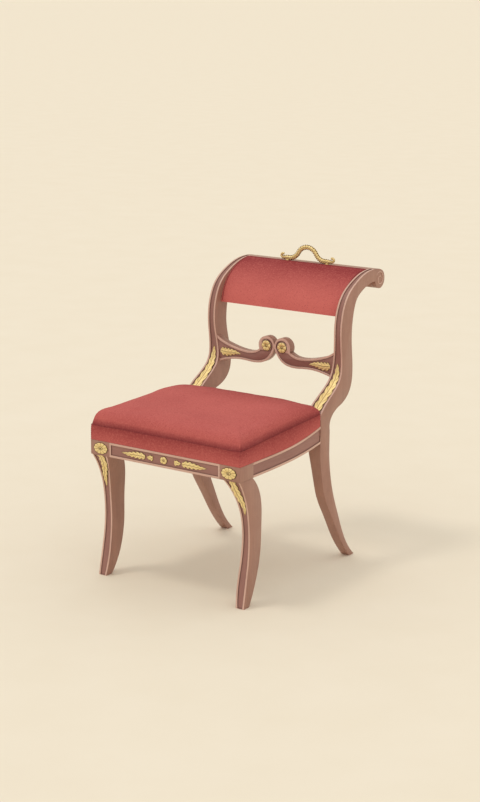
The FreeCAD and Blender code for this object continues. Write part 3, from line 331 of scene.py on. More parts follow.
def mahogany(grain):
    """grain is x, y or z, the way that the plank's fibres run."""
    wood = Finish("mahogany_" + grain, Roughness=0.42, Coat_Weight=0.1, Coat_Roughness=0.35)
    where = wood.place([0.06 if way == grain else 1 for way in "xyz"])
    fibre = wood.noise(where, 190.0, 4.0, 0.6)
    figure = wood.noise(where, 34.0, 3.0, 0.5)
    pores = wood.step(0.60, 0.72, wood.noise(where, 900.0, 2.0, 0.5))
    wear_and_painted_light = wood.noise(wood.place(), 26.0)
    sunk = wood.attribute("sunk")
    bead = wood.attribute("bead")
    # The beads are painted pale as highlight, and the channels a little darker as painted shade.
    flat = wood.mix(figure, paint(142, 98, 84), paint(172, 124, 107))
    low = wood.mix(figure, paint(138, 92, 83), paint(166, 117, 105))
    painted_highlight_bead = wood.mix(figure, paint(198, 154, 138), paint(226, 188, 170))
    colour = wood.mix(bead, wood.mix(sunk, flat, low), painted_highlight_bead)
    colour = wood.mix((fibre - 0.35) * 0.6, colour, paint(118, 72, 62))
    colour = wood.mix(pores * 0.3, colour, paint(92, 54, 46))
    colour = wood.mix(wear_and_painted_light * (1 - sunk) * 0.25, colour, paint(206, 164, 138))
    # Painted shade: darker in the recesses, by how shut in each spot is.
    colour = wood.mix((wood.painted_occlusion_shade(0.005) * 1.25).clamped(), colour, paint(66, 38, 34))
    return wood.done(Base_Color=colour, Roughness=0.34 + fibre * 0.2,
                     Normal=wood.bump(fibre - pores * 0.6, 0.0002, 0.5))


HANDS = ((1, "right"), (-1, "left"))
SAWN_ALONG = {
    "z": ["front_leg_left", "front_leg_right", "rear_stile_left", "rear_stile_right"],
    "x": ["front_seat_rail", "rear_seat_rail", "back_scroll_left", "back_scroll_right",
          "crest_board", "crest_roll"],
    "y": ["side_seat_rail_left", "side_seat_rail_right"]}
MAHOGANY = {grain: mahogany(grain) for grain in SAWN_ALONG}
wood_meshes = []
for grain, members in SAWN_ALONG.items():
    for member in members:
        piece = smoothed(eased_copy(member), 35)
        piece.data.materials.append(MAHOGANY[grain])
        wood_meshes.append(piece.data)
        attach(piece, "frame")
        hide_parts(member)


# ---- The beads of the arms: flat strips with eased edges that follow the arms' upper and lower
# edges from the stiles to the scrolls, standing as high as the scrolls' own rims.
BEAD_WIDE, BEAD_EASE, BEAD_SPACING = 0.0062, 0.0009, 0.0030
BEAD_SEAT, BEAD_PROUD = 0.0035, 0.00005
ARM_LEVELS = 0.0003             # how far off its level a face of the arm may lie
FACES_BACK, STILE_SHARE = 0.9, 0.75
EYE_X, EYE_Z = 0.0281, 0.6170
SCROLLS_MEET, ARM_NECK = (0.0, EYE_Z), (0.0545, 0.6110)


def closed_shell(name, rings):
    """A skin over rings of points, each closed on itself; its two ends are capped."""
    count = len(rings[0])
    corners = [tuple(p) for ring in rings for p in ring]
    faces = []
    for k in range(len(rings) - 1):
        for i in range(count):
            j = (i + 1) % count
            faces.append((k * count + i, k * count + j, (k + 1) * count + j, (k + 1) * count + i))
    faces += [tuple(range(count)), tuple(range(len(corners) - count, len(corners)))]
    mesh = bpy.data.meshes.new(name)
    mesh.from_pydata(corners, [], faces)
    shell = shell_of(mesh)
    closed_up(shell, NO_WIDTH)
    return into_mesh(shell, mesh)


def run_along(points):
    """How far each point lies from the first, along the line through them."""
    return np.concatenate([[0], np.cumsum(np.hypot(*np.diff(points, axis=0).T))])


def spaced(points, count):
    """The line through the points as so many points, evenly spaced."""
    run = run_along(points)
    at = np.linspace(0, run[-1], count)
    return np.column_stack([np.interp(at, run, column) for column in points.T])


def headings(line):
    """The way of a line at each of its points."""
    way = np.gradient(line, axis=0)
    return way / np.hypot(*way.T)[:, None]


def stretch_of(outline, start, end):
    """The outline from its point nearest start to that nearest end, evenly spaced."""
    first, last = (int(np.argmin(np.hypot(*(outline - spot).T))) for spot in (start, end))
    points = np.roll(outline, -first, axis=0)[:(last - first) % len(outline) + 1]
    return spaced(points, max(3, round(run_along(points)[-1] / BEAD_SPACING)))


shell = whole_faces(nodes["back_scroll_right"].data)
back = max((f for f in shell.faces if f.normal.y > FACES_BACK), key=lambda f: f.calc_area())
outline = np.array([(v.co.x, v.co.z) for v in back.verts])
shell.free()
x, z = outline.T
if np.sum(x * np.roll(z, -1) - z * np.roll(x, -1)) < 0:
    outline = outline[::-1]             # so that the arm's inside is on the left
by_stile = outline[outline[:, 0] > STILE_SHARE * outline[:, 0].max()]
stile_low, stile_high = by_stile[np.argmin(by_stile[:, 1])], by_stile[np.argmax(by_stile[:, 1])]
arm_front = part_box("back_scroll_right")[0][1]
arm_beads = [stretch_of(outline, SCROLLS_MEET, stile_low), stretch_of(outline, stile_high, ARM_NECK)]
bead_section = [(-BEAD_PROUD, BEAD_SEAT), (-BEAD_PROUD, BEAD_EASE), (BEAD_EASE, -BEAD_PROUD),
                (BEAD_WIDE - BEAD_EASE, -BEAD_PROUD), (BEAD_WIDE, BEAD_EASE), (BEAD_WIDE, BEAD_SEAT)]
for hand, side in HANDS:
    arm = bpy.data.objects["back_scroll_" + side + ".finished"]
    joined = shell_of(arm.data)
    low_zone, bead_zone = (joined.faces.layers.float[zone] for zone in ("sunk", "bead"))
    for face in joined.faces:
        level = face.calc_center_median().y - arm_front
        if face.normal.y < -FACES_BACK and level < BEAD_SEAT:
            face[low_zone] = float(level > ARM_LEVELS)
            face[bead_zone] = float(level <= ARM_LEVELS)
    carved = len(joined.faces)
    for line in arm_beads:
        rings = []
        for (x, z), (wx, wz) in zip(line, headings(line)):
            rings.append([(hand * (x - wz * d), arm_front + y, z + wx * d) for d, y in bead_section])
        joined.from_mesh(closed_shell("arm_bead", rings))
    # The strips are marked as beads, which the wood's finish paints pale as highlight.
    for face in list(joined.faces)[carved:]:
        face[bead_zone] = 1.0
    into_mesh(joined, arm.data)
    smoothed(arm, 35)


# ---- The curls at the ends of the crest's roll: a fine bead left standing in the outer side of
# each stile, that follows the roll's rim and winds in towards its middle.
ROLL_RADIUS, ROLL_MARGIN = 0.028, 0.0035
ROLL_CURL_BEAD, ROLL_CURL_TURNS, ROLL_CURL_START = 0.0018, 1.45, math.radians(150)
ROLL_CURL_IN, ROLL_CURL_GROWTH = 0.78, 12   # share of the radius that it loses; rise at its ends
ROLL_CURL_STEPS, ROLL_CURL_SIDES = 110, 8
roll_low, roll_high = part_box("crest_roll")
ROLL_Y, ROLL_Z = roll_high[1] - ROLL_RADIUS, roll_low[2] + ROLL_RADIUS
outer_side = solid_tree(nodes["rear_stile_right"].data)
for hand, side in HANDS:
    rings = []
    for share in np.linspace(0, 1, ROLL_CURL_STEPS):
        turn = ROLL_CURL_START - share * ROLL_CURL_TURNS * math.tau
        radius = (ROLL_RADIUS - ROLL_MARGIN) * (1 - ROLL_CURL_IN * share ** 0.8)
        bead = ROLL_CURL_BEAD * math.sqrt(min(1.0, 0.05 + ROLL_CURL_GROWTH * min(share, 1 - share)))
        ring = []
        for i in range(ROLL_CURL_SIDES):
            angle = math.tau * i / ROLL_CURL_SIDES
            out = radius + bead * math.cos(angle)
            y, z = ROLL_Y + out * math.cos(turn), ROLL_Z + out * math.sin(turn)
            face_x = outer_side.ray_cast(Vector((1, y, z)), Vector((-1, 0, 0)))[0].x
            ring.append((hand * (face_x + bead * math.sin(angle)), y, z))
        rings.append(ring)
    curl = smoothed(add_piece("roll_curl_" + side, closed_shell("roll_curl_" + side, rings)), 60)
    # Marked as a bead, so the wood's finish paints it pale as highlight.
    marked(curl.data, "bead", np.ones(len(curl.data.polygons)), "FACE")
    curl.data.materials.append(MAHOGANY["y"])
    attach(curl, "frame")


# ---- The hidden work, all of beech: braces screwed into the rails' corners, the dowel between the
# arms, and the lapped frame of the drop-in seat, with jute webbing and a hessian base cloth tacked
# to it.
wood = Finish("beech", Roughness=0.6, Specular_IOR_Level=0.35)
where = wood.place((0.12, 1, 1))
fibre = wood.noise(where, 160.0, 3.0, 0.55)
fleck = wood.step(0.62, 0.70, wood.noise(wood.place((0.25, 1, 1)), 700.0, 1.0, 0.5))
colour = wood.mix(fibre, paint(196, 158, 116), paint(222, 190, 150))
colour = wood.mix(fleck * 0.5, colour, paint(150, 108, 72))
BEECH = wood.done(Base_Color=colour, Normal=wood.bump(fibre, 0.0002, 0.4))


def scratched(name, dark, light, roughness):
    metal = Finish(name, Metallic=1.0, Roughness=roughness)
    cloud = metal.noise(metal.place(), 300.0, 3.0, 0.6)
    line = metal.noise(metal.place((1, 0.1, 1)), 900.0)
    return metal.done(Base_Color=metal.mix(cloud, dark, light), Roughness=roughness + line * 0.2,
                      Normal=metal.bump(line, 0.00005, 0.5))


def jute(name, dark, light, threads):
    """Plain weave of coarse yarn, threads to the metre."""
    cloth = Finish(name, Roughness=0.95, Specular_IOR_Level=0.1)
    where = cloth.place()
    warp = cloth.stripes(where, "X", threads * math.pi / 10, 0.4)
    weft = cloth.stripes(where, "Y", threads * math.pi / 10, 0.4)
    yarn = cloth.noise(where, threads / 3)
    woven = warp * weft
    colour = cloth.mix((woven * 0.6 + yarn * 0.5).clamped(), dark, light)
    return cloth.done(Base_Color=colour, Normal=cloth.bump(woven + yarn * 0.3, 0.0006, 0.7))


def finish_solids(**finishes):
    """Gives the solids that stay their finishes, by the names of their materials."""
    for node in nodes.values():
        for index, material in enumerate(node.data.materials):
            if material.name in finishes:
                node.data.materials[index] = finishes[material.name]


finish_solids(
    frame_wood=BEECH,
    webbing=jute("jute_webbing", paint(120, 96, 60), paint(198, 172, 124), 500),
    base_cloth=jute("hessian", paint(126, 100, 62), paint(204, 178, 132), 450),
    screw_steel=scratched("bright_screws", paint(120, 122, 126), paint(176, 178, 182), 0.35),
    tack_steel=scratched("blued_tacks", paint(58, 62, 76), paint(96, 100, 116), 0.4))


# ---- The seat cushion: curled hair over webbing on a drop-in frame, covered in crimson worsted.
# Its upright border stands on the rails, the crown swells up inside a sewn edge, and the cloth is
# drawn down inside the rails and turned under the frame.
SEAT_FRONT, STILE_FRONT, SEAT_BACK = -0.3845, 0.0300, 0.0765
SEAT_CORNER_HALF, SIDE_TAPER, NOTCH_HALF, NOTCH_GIVES = 0.2604, 0.04, 0.1948, 0.010
RAIL_LEVEL, BORDER_HEIGHT, BORDER_CLIMB = 0.4084, 0.0440, 0.0180
SWEEP_START, SWEEP_RUN, SWEEP_RISE, SWEEP_POWER = -0.185, 0.216, 0.026, 1.91
CROWN_RISE, SIDE_SWELL, FRONT_SWELL, BACK_SWELL = 0.0435, 0.028, 0.035, 0.22
CORNER_FULLNESS, CORNER_BOX, SEAM_SHADE = 0.60, 3.5, 0.5
BACK_SHADE_START = -0.13      # behind this the crown is painted darker and darker, as shade towards the back
BORDER_SHARES = (0.97, 0.85, 0.65, 0.45, 0.25, 0.10, 0.0)
TUCK = [(0.0105, None), (0.0112, 0.3965), (0.0410, 0.3965), (0.0410, 0.3976), (0.0126, 0.3976),
        (0.0126, 0.4218)]      # inset and level of each turn of the cloth below the border
STEP_ACROSS, STEP_ALONG, INNER_COLUMNS, REAR_ROWS = 0.0065, 0.009, 25, 10
LUMP_HEIGHT, LUMP_SCALE, LUMPS_ABOVE = 0.0009, 22.0, 0.006
STILE_MARGIN, HELD_LEAST, CLOTH_MERGE = 0.004, 0.35, 1e-5
PUFF_PRESSURE, PUFF_FRAMES, CUSHION_PUFF = 3.0, 20, 0.0045

# Crimson cloth: a fine slanting twill, faded in clouds, with darker flecks of wool.  Light and shade are
# painted in: lighter on the seat's crown, darker towards its back, under the seam and at the crest's top.
cloth = Finish("crimson_worsted", Roughness=0.9, Specular_IOR_Level=0.15)
where = cloth.place()
faded = cloth.noise(where, 6.0, 2.0, 0.5)
nap = cloth.noise(where, 210.0, 4.0, 0.7)
fleck = cloth.step(0.60, 0.66, cloth.noise(where, 330.0, 2.0, 0.6))
twill = cloth.stripes(cloth.place(turn=(0.6, 0.5, 0.4)), "DIAGONAL", 230.0, 1.0)
colour = cloth.mix((cloth.attribute("painted_light") * 0.85 + (faded - 0.4) * 0.4).clamped(),
                   paint(138, 46, 49), paint(212, 113, 105))
colour = cloth.mix(cloth.step(0.45, 0.65, nap) * 0.35, colour, paint(214, 122, 110))
colour = cloth.mix(fleck * 0.45, colour, paint(124, 40, 46))
colour = cloth.mix(twill * 0.14, colour, paint(132, 44, 48))
# Painted shade along the seam and the border's upper band.
colour = cloth.mix(cloth.attribute("painted_seam_shade") * 0.6, colour, paint(96, 32, 38))
WORSTED = cloth.done(Base_Color=colour, Normal=cloth.bump(twill * 0.4 + nap, 0.0005, 0.5))


def seat_side(y):
    return SEAT_CORNER_HALF - SIDE_TAPER * (min(y, STILE_FRONT) - SEAT_FRONT)


def border_foot(y):
    """The rails sweep up towards the stiles, and the border's foot with them."""
    share = min(1.0, max(0.0, (y - SWEEP_START) / SWEEP_RUN))
    return RAIL_LEVEL + SWEEP_RISE * share ** SWEEP_POWER


def border_top(y):
    climb = (min(y, STILE_FRONT) - SEAT_FRONT) / (STILE_FRONT - SEAT_FRONT)
    return RAIL_LEVEL + BORDER_HEIGHT + BORDER_CLIMB * climb


def swell(away, reach, power=2.0, fullness=1.5):
    """0 at the sewn edge and 1 from reach inwards."""
    share = min(1.0, max(0.0, away / reach))
    return (1 - (1 - share) ** power) ** (1 / fullness)


def crown(x, y):
    """How far the crown stands above its sewn edge."""
    if y > STILE_FRONT:
        side = NOTCH_HALF - abs(x)
    else:
        side = min(seat_side(y) - abs(x), math.hypot(max(0.0, NOTCH_HALF - abs(x)), STILE_FRONT - y))
    falls = [1 - swell(side, SIDE_SWELL), 1 - swell(y - SEAT_FRONT, FRONT_SWELL)]
    edges = max(0.0, 1 - sum(fall ** CORNER_BOX for fall in falls) ** (1 / CORNER_BOX))
    return CROWN_RISE * edges ** CORNER_FULLNESS * swell(SEAT_BACK - y, BACK_SWELL, 2.4, 1.25)


def drawn_in(x, y, inset):
    """A point of the seat's outline moved inwards; the notches give way only inside the rails."""
    notch = max(0.0, inset - NOTCH_GIVES)
    hand = 1 if x > 0 else -1
    if y > STILE_FRONT + NO_WIDTH:
        return hand * min(abs(x), NOTCH_HALF - notch), min(y, SEAT_BACK - inset)
    y_in = max(SEAT_FRONT + inset, min(y, STILE_FRONT - notch))
    if y > STILE_FRONT - NO_WIDTH and abs(x) < NOTCH_HALF + NO_WIDTH:
        return hand * (NOTCH_HALF - notch), y_in
    return hand * min(abs(x), seat_side(y_in) - inset), y_in


def graded(start, run, step):
    """Places from a sewn edge inwards, close together at first."""
    near = [0.0, 0.0025, 0.006, 0.010, 0.015, 0.021, 0.028, 0.036]
    return start + np.array(near + list(np.linspace(near[-1], run, round((run - near[-1]) / step) + 1)[1:]))


def pull_down(shell, rim, roots, moves):
    """Draws a further band from the rim; moves(x, y) says where the corner below a root goes."""
    made = bmesh.ops.extrude_edge_only(shell, edges=rim)["geom"]
    fresh = [g for g in made if isinstance(g, bmesh.types.BMEdge) and g.is_boundary]
    lower = {}
    for v in {v for e in fresh for v in e.verts}:
        parent = next(e.other_vert(v) for e in v.link_edges if e.other_vert(v) in roots)
        lower[v] = roots[parent]
        v.co = moves(*lower[v])
    return fresh, lower


def settled(name, shell):
    """A mesh of a shell with its points and faces in one order, whatever order they were made in."""
    points = sorted(shell.verts, key=lambda v: tuple(v.co))
    place = {v: i for i, v in enumerate(points)}
    faces = []
    for face in shell.faces:
        ring = [place[v] for v in face.verts]
        first = ring.index(min(ring))
        faces.append(ring[first:] + ring[:first])
    painted_seam_shade = shell.verts.layers.float["painted_seam_shade"]
    mesh = bpy.data.meshes.new(name)
    mesh.from_pydata([v.co.copy() for v in points], [], sorted(faces))
    marked(mesh, "painted_seam_shade", [v[painted_seam_shade] for v in points])
    shell.free()
    return mesh


def rim_of(shell):
    rim = [e for e in shell.edges if e.is_boundary]
    return rim, {v: (v.co.x, v.co.y) for e in rim for v in e.verts}


def levels(mesh):
    """Where a mesh's points lie, and the levels of the border's top and foot at each."""
    xs, ys, zs = places(mesh).T
    tops, feet = np.array([(border_top(y), border_foot(y)) for y in ys]).T
    return np.abs(xs), ys, zs, tops, feet


def puffed(piece, held, most):
    """Cloth under pressure from within; held is 1 where a point stays, most how far one may move."""
    rest = places(piece.data)
    group = piece.vertex_groups.new(name="held")
    for index, hold in enumerate(held):
        group.add([index], float(hold), "REPLACE")
    cloth = piece.modifiers.new("cloth", "CLOTH")
    cloth.settings.vertex_group_mass = "held"
    cloth.settings.use_pressure = True
    cloth.settings.uniform_pressure_force = PUFF_PRESSURE
    cloth.settings.effector_weights.gravity = 0
    cloth.settings.quality = 6
    cloth.point_cache.frame_end = PUFF_FRAMES
    for step in range(1, PUFF_FRAMES + 1):
        scene.frame_set(step)
    shape = piece.evaluated_get(bpy.context.evaluated_depsgraph_get()).data
    shift = places(shape) - rest
    scene.frame_set(1)
    piece.modifiers.clear()
    piece.vertex_groups.clear()
    length = np.linalg.norm(shift, axis=1, keepdims=True)
    shift *= np.minimum(1, most / np.maximum(length, 1e-9))
    piece.data.vertices.foreach_set("co", (rest + shift).ravel())
    piece.data.update()


# The crown and the upright border, before they are puffed.
STILE_HALF = seat_side(STILE_FRONT)
outer = graded(0, STILE_HALF - NOTCH_HALF, STEP_ACROSS) / STILE_HALF
inner = np.linspace(NOTCH_HALF / STILE_HALF, 0, INNER_COLUMNS)[1:]
right = np.concatenate([1 - outer, inner])
shares = np.concatenate([-right, right[:-1][::-1]])
edge = len(outer) - 1
middle = (STILE_FRONT - SEAT_FRONT) / 2
ahead = graded(SEAT_FRONT, middle, STEP_ALONG)
behind = (SEAT_FRONT + STILE_FRONT) - ahead[::-1]
ys = np.concatenate([ahead, behind[1:], np.linspace(STILE_FRONT, SEAT_BACK, REAR_ROWS)[1:]])
shell = bmesh.new()
painted_seam_shade = shell.verts.layers.float.new("painted_seam_shade")
grid = {}
for j, y in enumerate(ys):
    for i, share in enumerate(shares):
        if y > STILE_FRONT + NO_WIDTH and (i < edge or i > len(shares) - 1 - edge):
            continue
        x = share * seat_side(y)
        grid[i, j] = shell.verts.new((x, y, border_top(y) + crown(x, y)))
for i, j in list(grid):
    corners = [(i, j), (i + 1, j), (i + 1, j + 1), (i, j + 1)]
    if all(c in grid for c in corners):
        shell.faces.new([grid[c] for c in corners])
rim, roots = rim_of(shell)
for v in roots:
    v[painted_seam_shade] = 1
# The seam is painted dark as shade, and the border below it less and less so further down.
for share in BORDER_SHARES:
    rim, roots = pull_down(shell, rim, roots, lambda x, y: (
        x, y, border_foot(y) + (border_top(y) - border_foot(y)) * share))
    for v in roots:
        v[painted_seam_shade] = SEAM_SHADE * share ** 3
bmesh.ops.recalc_face_normals(shell, faces=shell.faces)
cushion = add_piece("seat_cushion", settled("seat_cushion", shell))
xs, ys, zs, tops, feet = levels(cushion.data)
on_border = np.clip((tops + 0.001 - zs) / (tops - feet), 0, 1)
by_stile = (ys > STILE_FRONT - STILE_MARGIN) & (xs > NOTCH_HALF - STILE_MARGIN)
by_stile |= ys > SEAT_BACK - 0.001
held = np.where(zs > tops + 0.0005, 0.0, HELD_LEAST + (1 - HELD_LEAST) * on_border)
puffed(cushion, np.where(by_stile, 1.0, held), CUSHION_PUFF)
shell = shell_of(cushion.data)
for v in shell.verts:
    if v.co.z > border_top(v.co.y) + LUMPS_ABOVE:
        v.co.z += LUMP_HEIGHT * lump(v.co * LUMP_SCALE)
rim, roots = rim_of(shell)
for inset, level in TUCK:
    rim, roots = pull_down(shell, rim, roots, lambda x, y: (
        *drawn_in(x, y, inset), border_foot(y) if level is None else level))
bmesh.ops.remove_doubles(shell, verts=list(roots), dist=CLOTH_MERGE)
bmesh.ops.contextual_create(shell, geom=[e for e in shell.edges if e.is_boundary])
closed_up(shell, CLOTH_MERGE)
cushion.data = settled("seat_cushion", shell)
_, ys, zs, tops, feet = levels(cushion.data)
# Painted light and shade for the cloth: lighter as the crown rises, painted shade towards the back, and on
# the border painted shade under the seam that lightens further down.
risen = np.clip((zs - tops) / CROWN_RISE, 0, 1) ** 0.3
lowered = np.clip((tops - zs) / (tops - feet), 0, 1)
painted_back_shade = np.clip((ys - BACK_SHADE_START) / (SEAT_BACK - BACK_SHADE_START), 0, 1)
wear_and_painted_light = np.where(zs > tops + 0.001, 0.34 + 0.40 * risen - 0.54 * painted_back_shade, 0.26 + 0.42 * lowered)
marked(cushion.data, "painted_light", np.clip(wear_and_painted_light, 0, 1))
cushion.data.materials.append(WORSTED)
smoothed(cushion, 50)
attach(cushion, "seat")
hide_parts("seat_cover", "seat_stuffing")


# ---- The seams of the seat: the crown is joined to the border by hand with waxed crimson thread,
# whose slanting stitches show all round the edge.
SEAM_STEPS, CORNER_STEPS, GRAIN_RINGS = 40, 12, 6


class Threading(Tree):
    """A geometry tree under construction, with named inputs for its sizes."""

    def __init__(self, name, **sizes):
        self.group = bpy.data.node_groups.new(name, "GeometryNodeTree")
        super().__init__(self.group)
        face = self.group.interface
        for way in ("INPUT", "OUTPUT"):
            face.new_socket("Geometry", in_out=way, socket_type="NodeSocketGeometry")
        self.sizes = {face.new_socket(size, in_out="INPUT", socket_type="NodeSocketFloat").identifier: value
                      for size, value in sizes.items()}
        outputs = self.nodes.new("NodeGroupInput").outputs
        self.given = {name: Socket(self, outputs[name]) for name in ("Geometry", *sizes)}

    def run(self, piece, shape, material):
        """Ends the tree in real geometry with its material and turns the piece into that."""
        real = self.node("GeometryNodeRealizeInstances", {}, shape)
        dressed = self.node("GeometryNodeSetMaterial", {}, real, None, material)
        self.links.new(dressed.output, self.nodes.new("NodeGroupOutput").inputs[0])
        modifier = piece.modifiers.new(self.group.name, "NODES")
        modifier.node_group = self.group
        for identifier, size in self.sizes.items():
            modifier[identifier] = size
        return smoothed(plain(piece), 60)


def strung(name, paths, material, spacing, length, thickness, slant=0.0):
    """Oval grains set along paths, each turned by slant out of the path's way."""
    corners = [tuple(p) for path in paths for p in path]
    links, first = [], 0
    for path in paths:
        links += [(first + i, first + i + 1) for i in range(len(path) - 1)]
        first += len(path)
    mesh = bpy.data.meshes.new(name)
    mesh.from_pydata(corners, links, [])
    work = Threading(name, Spacing=spacing, Length=length, Thickness=thickness, Slant=slant)
    given = work.given
    line = work.node("GeometryNodeMeshToCurve", {}, given["Geometry"])
    line = work.node("GeometryNodeResampleCurve", {"mode": "LENGTH"}, line, Length=given["Spacing"])
    grain = work.node("GeometryNodeMeshUVSphere", {}, GRAIN_RINGS + 2, GRAIN_RINGS, 0.5)
    turn = work.node("GeometryNodeInputTangent", {})
    turn = work.node("FunctionNodeAlignRotationToVector", {"axis": "X"}, Vector=turn)
    slanted = work.node("ShaderNodeCombineXYZ", {}, None, None, given["Slant"])
    turn = work.node("FunctionNodeRotateRotation", {"rotation_space": "LOCAL"}, turn, slanted)
    size = work.node("ShaderNodeCombineXYZ", {}, given["Length"], given["Thickness"], given["Thickness"])
    grains = work.node("GeometryNodeInstanceOnPoints", {}, line, Instance=grain, Rotation=turn, Scale=size)
    return work.run(add_piece(name, mesh), grains, material)


silk = Finish("crimson_thread", Roughness=0.7, Specular_IOR_Level=0.3)
ply = silk.noise(silk.place(), 1200.0, 2.0)
THREAD = silk.done(Base_Color=silk.mix(ply, paint(104, 34, 38), paint(150, 58, 58)))


def laid_on(mesh, paths):
    """The paths, brought to the nearest places on a mesh."""
    tree = solid_tree(mesh)
    return [[tree.find_nearest(Vector(p))[0] for p in path] for path in paths]


corner_seams = [[(hand * SEAT_CORNER_HALF, SEAT_FRONT, z) for z in np.linspace(
    RAIL_LEVEL + 0.002, RAIL_LEVEL + BORDER_HEIGHT, CORNER_STEPS)] for hand in (-1, 1)]
plan = [(-STILE_HALF, STILE_FRONT), (-SEAT_CORNER_HALF, SEAT_FRONT), (SEAT_CORNER_HALF, SEAT_FRONT),
        (STILE_HALF, STILE_FRONT)]
crown_seam = []
for (x0, y0), (x1, y1) in zip(plan, plan[1:]):
    for i in range(SEAM_STEPS + 1):
        x, y = x0 + (x1 - x0) * i / SEAM_STEPS, y0 + (y1 - y0) * i / SEAM_STEPS
        crown_seam.append((x, y, border_top(y)))
sewn = laid_on(cushion.data, [crown_seam] + corner_seams)
stitches = strung("seat_stitches", sewn, THREAD, spacing=0.0055, length=0.0040, thickness=0.0010, slant=0.5)
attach(stitches, "seat")


# ---- The crest pad: a thin hair pad tacked to the curved crest board between the stiles and
# covered in the same crimson worsted, with a corded edge; its cloth turns over the board's top.
CREST_HALF, PAD_DEEP, PAD_PUFF = 0.2130, 0.0149, 0.0030
FAN_X, FAN_Y, FAN_Z, FAN_REACH = 0.05, 0.315, 0.726, 0.4       # looks run in to here
PAD_LOOKS, PAD_ROWS, PAD_COLUMNS = 181, 30, 75
PAD_MARGIN, CORD_MARGIN, CORD_STEPS = 0.004, 0.0045, 40
tree = solid_tree(nodes["crest_cover"].data)
hits = []
for angle in np.linspace(math.pi - 0.002, math.pi / 2 + 0.002, PAD_LOOKS):
    out = Vector((0, math.cos(angle), math.sin(angle)))
    start = Vector((FAN_X, FAN_Y, FAN_Z)) + out * FAN_REACH
    hit = tree.ray_cast(start, -out, FAN_REACH - 0.001)[0]
    if hit:
        hits.append((hit.y, hit.z))
profile = spaced(np.array(hits), PAD_ROWS)      # the pad's face from its lower edge to its upper one
along = headings(profile)
behind = profile + np.column_stack([along[:, 1], -along[:, 0]]) * PAD_DEEP
behind[0, 1], behind[-1, 0] = profile[0, 1], profile[-1, 0]
section = np.concatenate([profile, behind[::-1]])
rings = [[(x, y, z) for y, z in section] for x in np.linspace(-CREST_HALF, CREST_HALF, PAD_COLUMNS)]
pad = add_piece("crest_upholstery", closed_shell("crest_upholstery", rings))
corners = places(pad.data)
face_points = {(round(y, 5), round(z, 5)) for y, z in profile[2:-1]}
on_face = np.array([(round(y, 5), round(z, 5)) in face_points for _, y, z in corners])
inside = np.abs(corners[:, 0]) < CREST_HALF - PAD_MARGIN
height = np.clip((corners[:, 2] - profile[0, 1]) / (profile[-1, 1] - profile[0, 1]), 0, 1)
# Painted shade: the pad's cloth is darker towards its top.
marked(pad.data, "painted_light", np.clip(1.02 - 1.15 * height ** 2.4, 0, 1))
puffed(pad, np.where(on_face & inside, 0.0, 1.0), PAD_PUFF)
pad.data.materials.append(WORSTED)
smoothed(pad, 50)
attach(pad, "frame")
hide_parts("crest_cover", "crest_pad")

cord_half = CREST_HALF - CORD_MARGIN
cords = [[(x, y, z) for y, z in profile[1:-1]] for x in (-cord_half, cord_half)]
cords.append([(x, *profile[-2]) for x in np.linspace(-cord_half, cord_half, CORD_STEPS)])
edging = strung("crest_edging", laid_on(pad.data, cords), THREAD, spacing=0.0016, length=0.0034,
                thickness=0.0017, slant=0.7)
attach(edging, "frame")


# ---- The mounts: cast brass, chased and matt gilt, with painted shade, dark brown, on their rims,
# furrows and recesses.  Each is a low relief that follows the wood behind it and is pinned to it from the
# front.
gilt = Finish("matt_gilding", Metallic=0.45, Roughness=0.4)
where = gilt.place()
cloud = gilt.noise(where, 60.0, 3.0, 0.6)
grain = gilt.noise(where, 900.0, 2.0)
colour = gilt.mix(cloud, paint(240, 206, 128), paint(255, 236, 180))
colour = gilt.mix(gilt.step(0.62, 0.75, grain) * 0.25, colour, paint(150, 104, 54))
# Painted shade: the castings' rims, furrows and eyes, and the recesses by how shut in they are, coloured dark
# brown.
dark = gilt.attribute("painted_shade") + gilt.painted_occlusion_shade(0.002) * 0.6
colour = gilt.mix(dark.clamped(), colour, paint(78, 46, 26))
GILT = gilt.done(Base_Color=colour, Roughness=0.34 + grain * 0.25,
                 Normal=gilt.bump(grain, 0.0001, 0.4))
finish_solids(gilt=GILT)            # the pins of the mounts
wood_tree = solid_tree(*wood_meshes)
RELIEF_MERGE, FLAT_SINK, CURVED_SINK = 2e-5, 0.0008, 0.0024
LOBE_SKEW, LOBE_ROWS, LEAF_COLUMNS = 0.9, 12, 25
PETAL_COLUMNS, FLOWER_ROWS = 8, 19
EYE_SHARE, DIMPLE_SHARE, RING_SHARE, RIM_SHARE = 0.2, 0.12, 0.32, 0.92


def wood_front(x, z):
    """Where the wood's face stands at a place seen from the front."""
    hit = wood_tree.ray_cast(Vector((x, -1.0, z)), Vector((0, 1, 0)), 2.0)[0]
    return hit.y if hit else None


def bumped(share):
    """0 below 0, 1 above 1, smooth between them."""
    within = max(0.0, min(1.0, share))
    return within ** 2 * (3 - 2 * within)


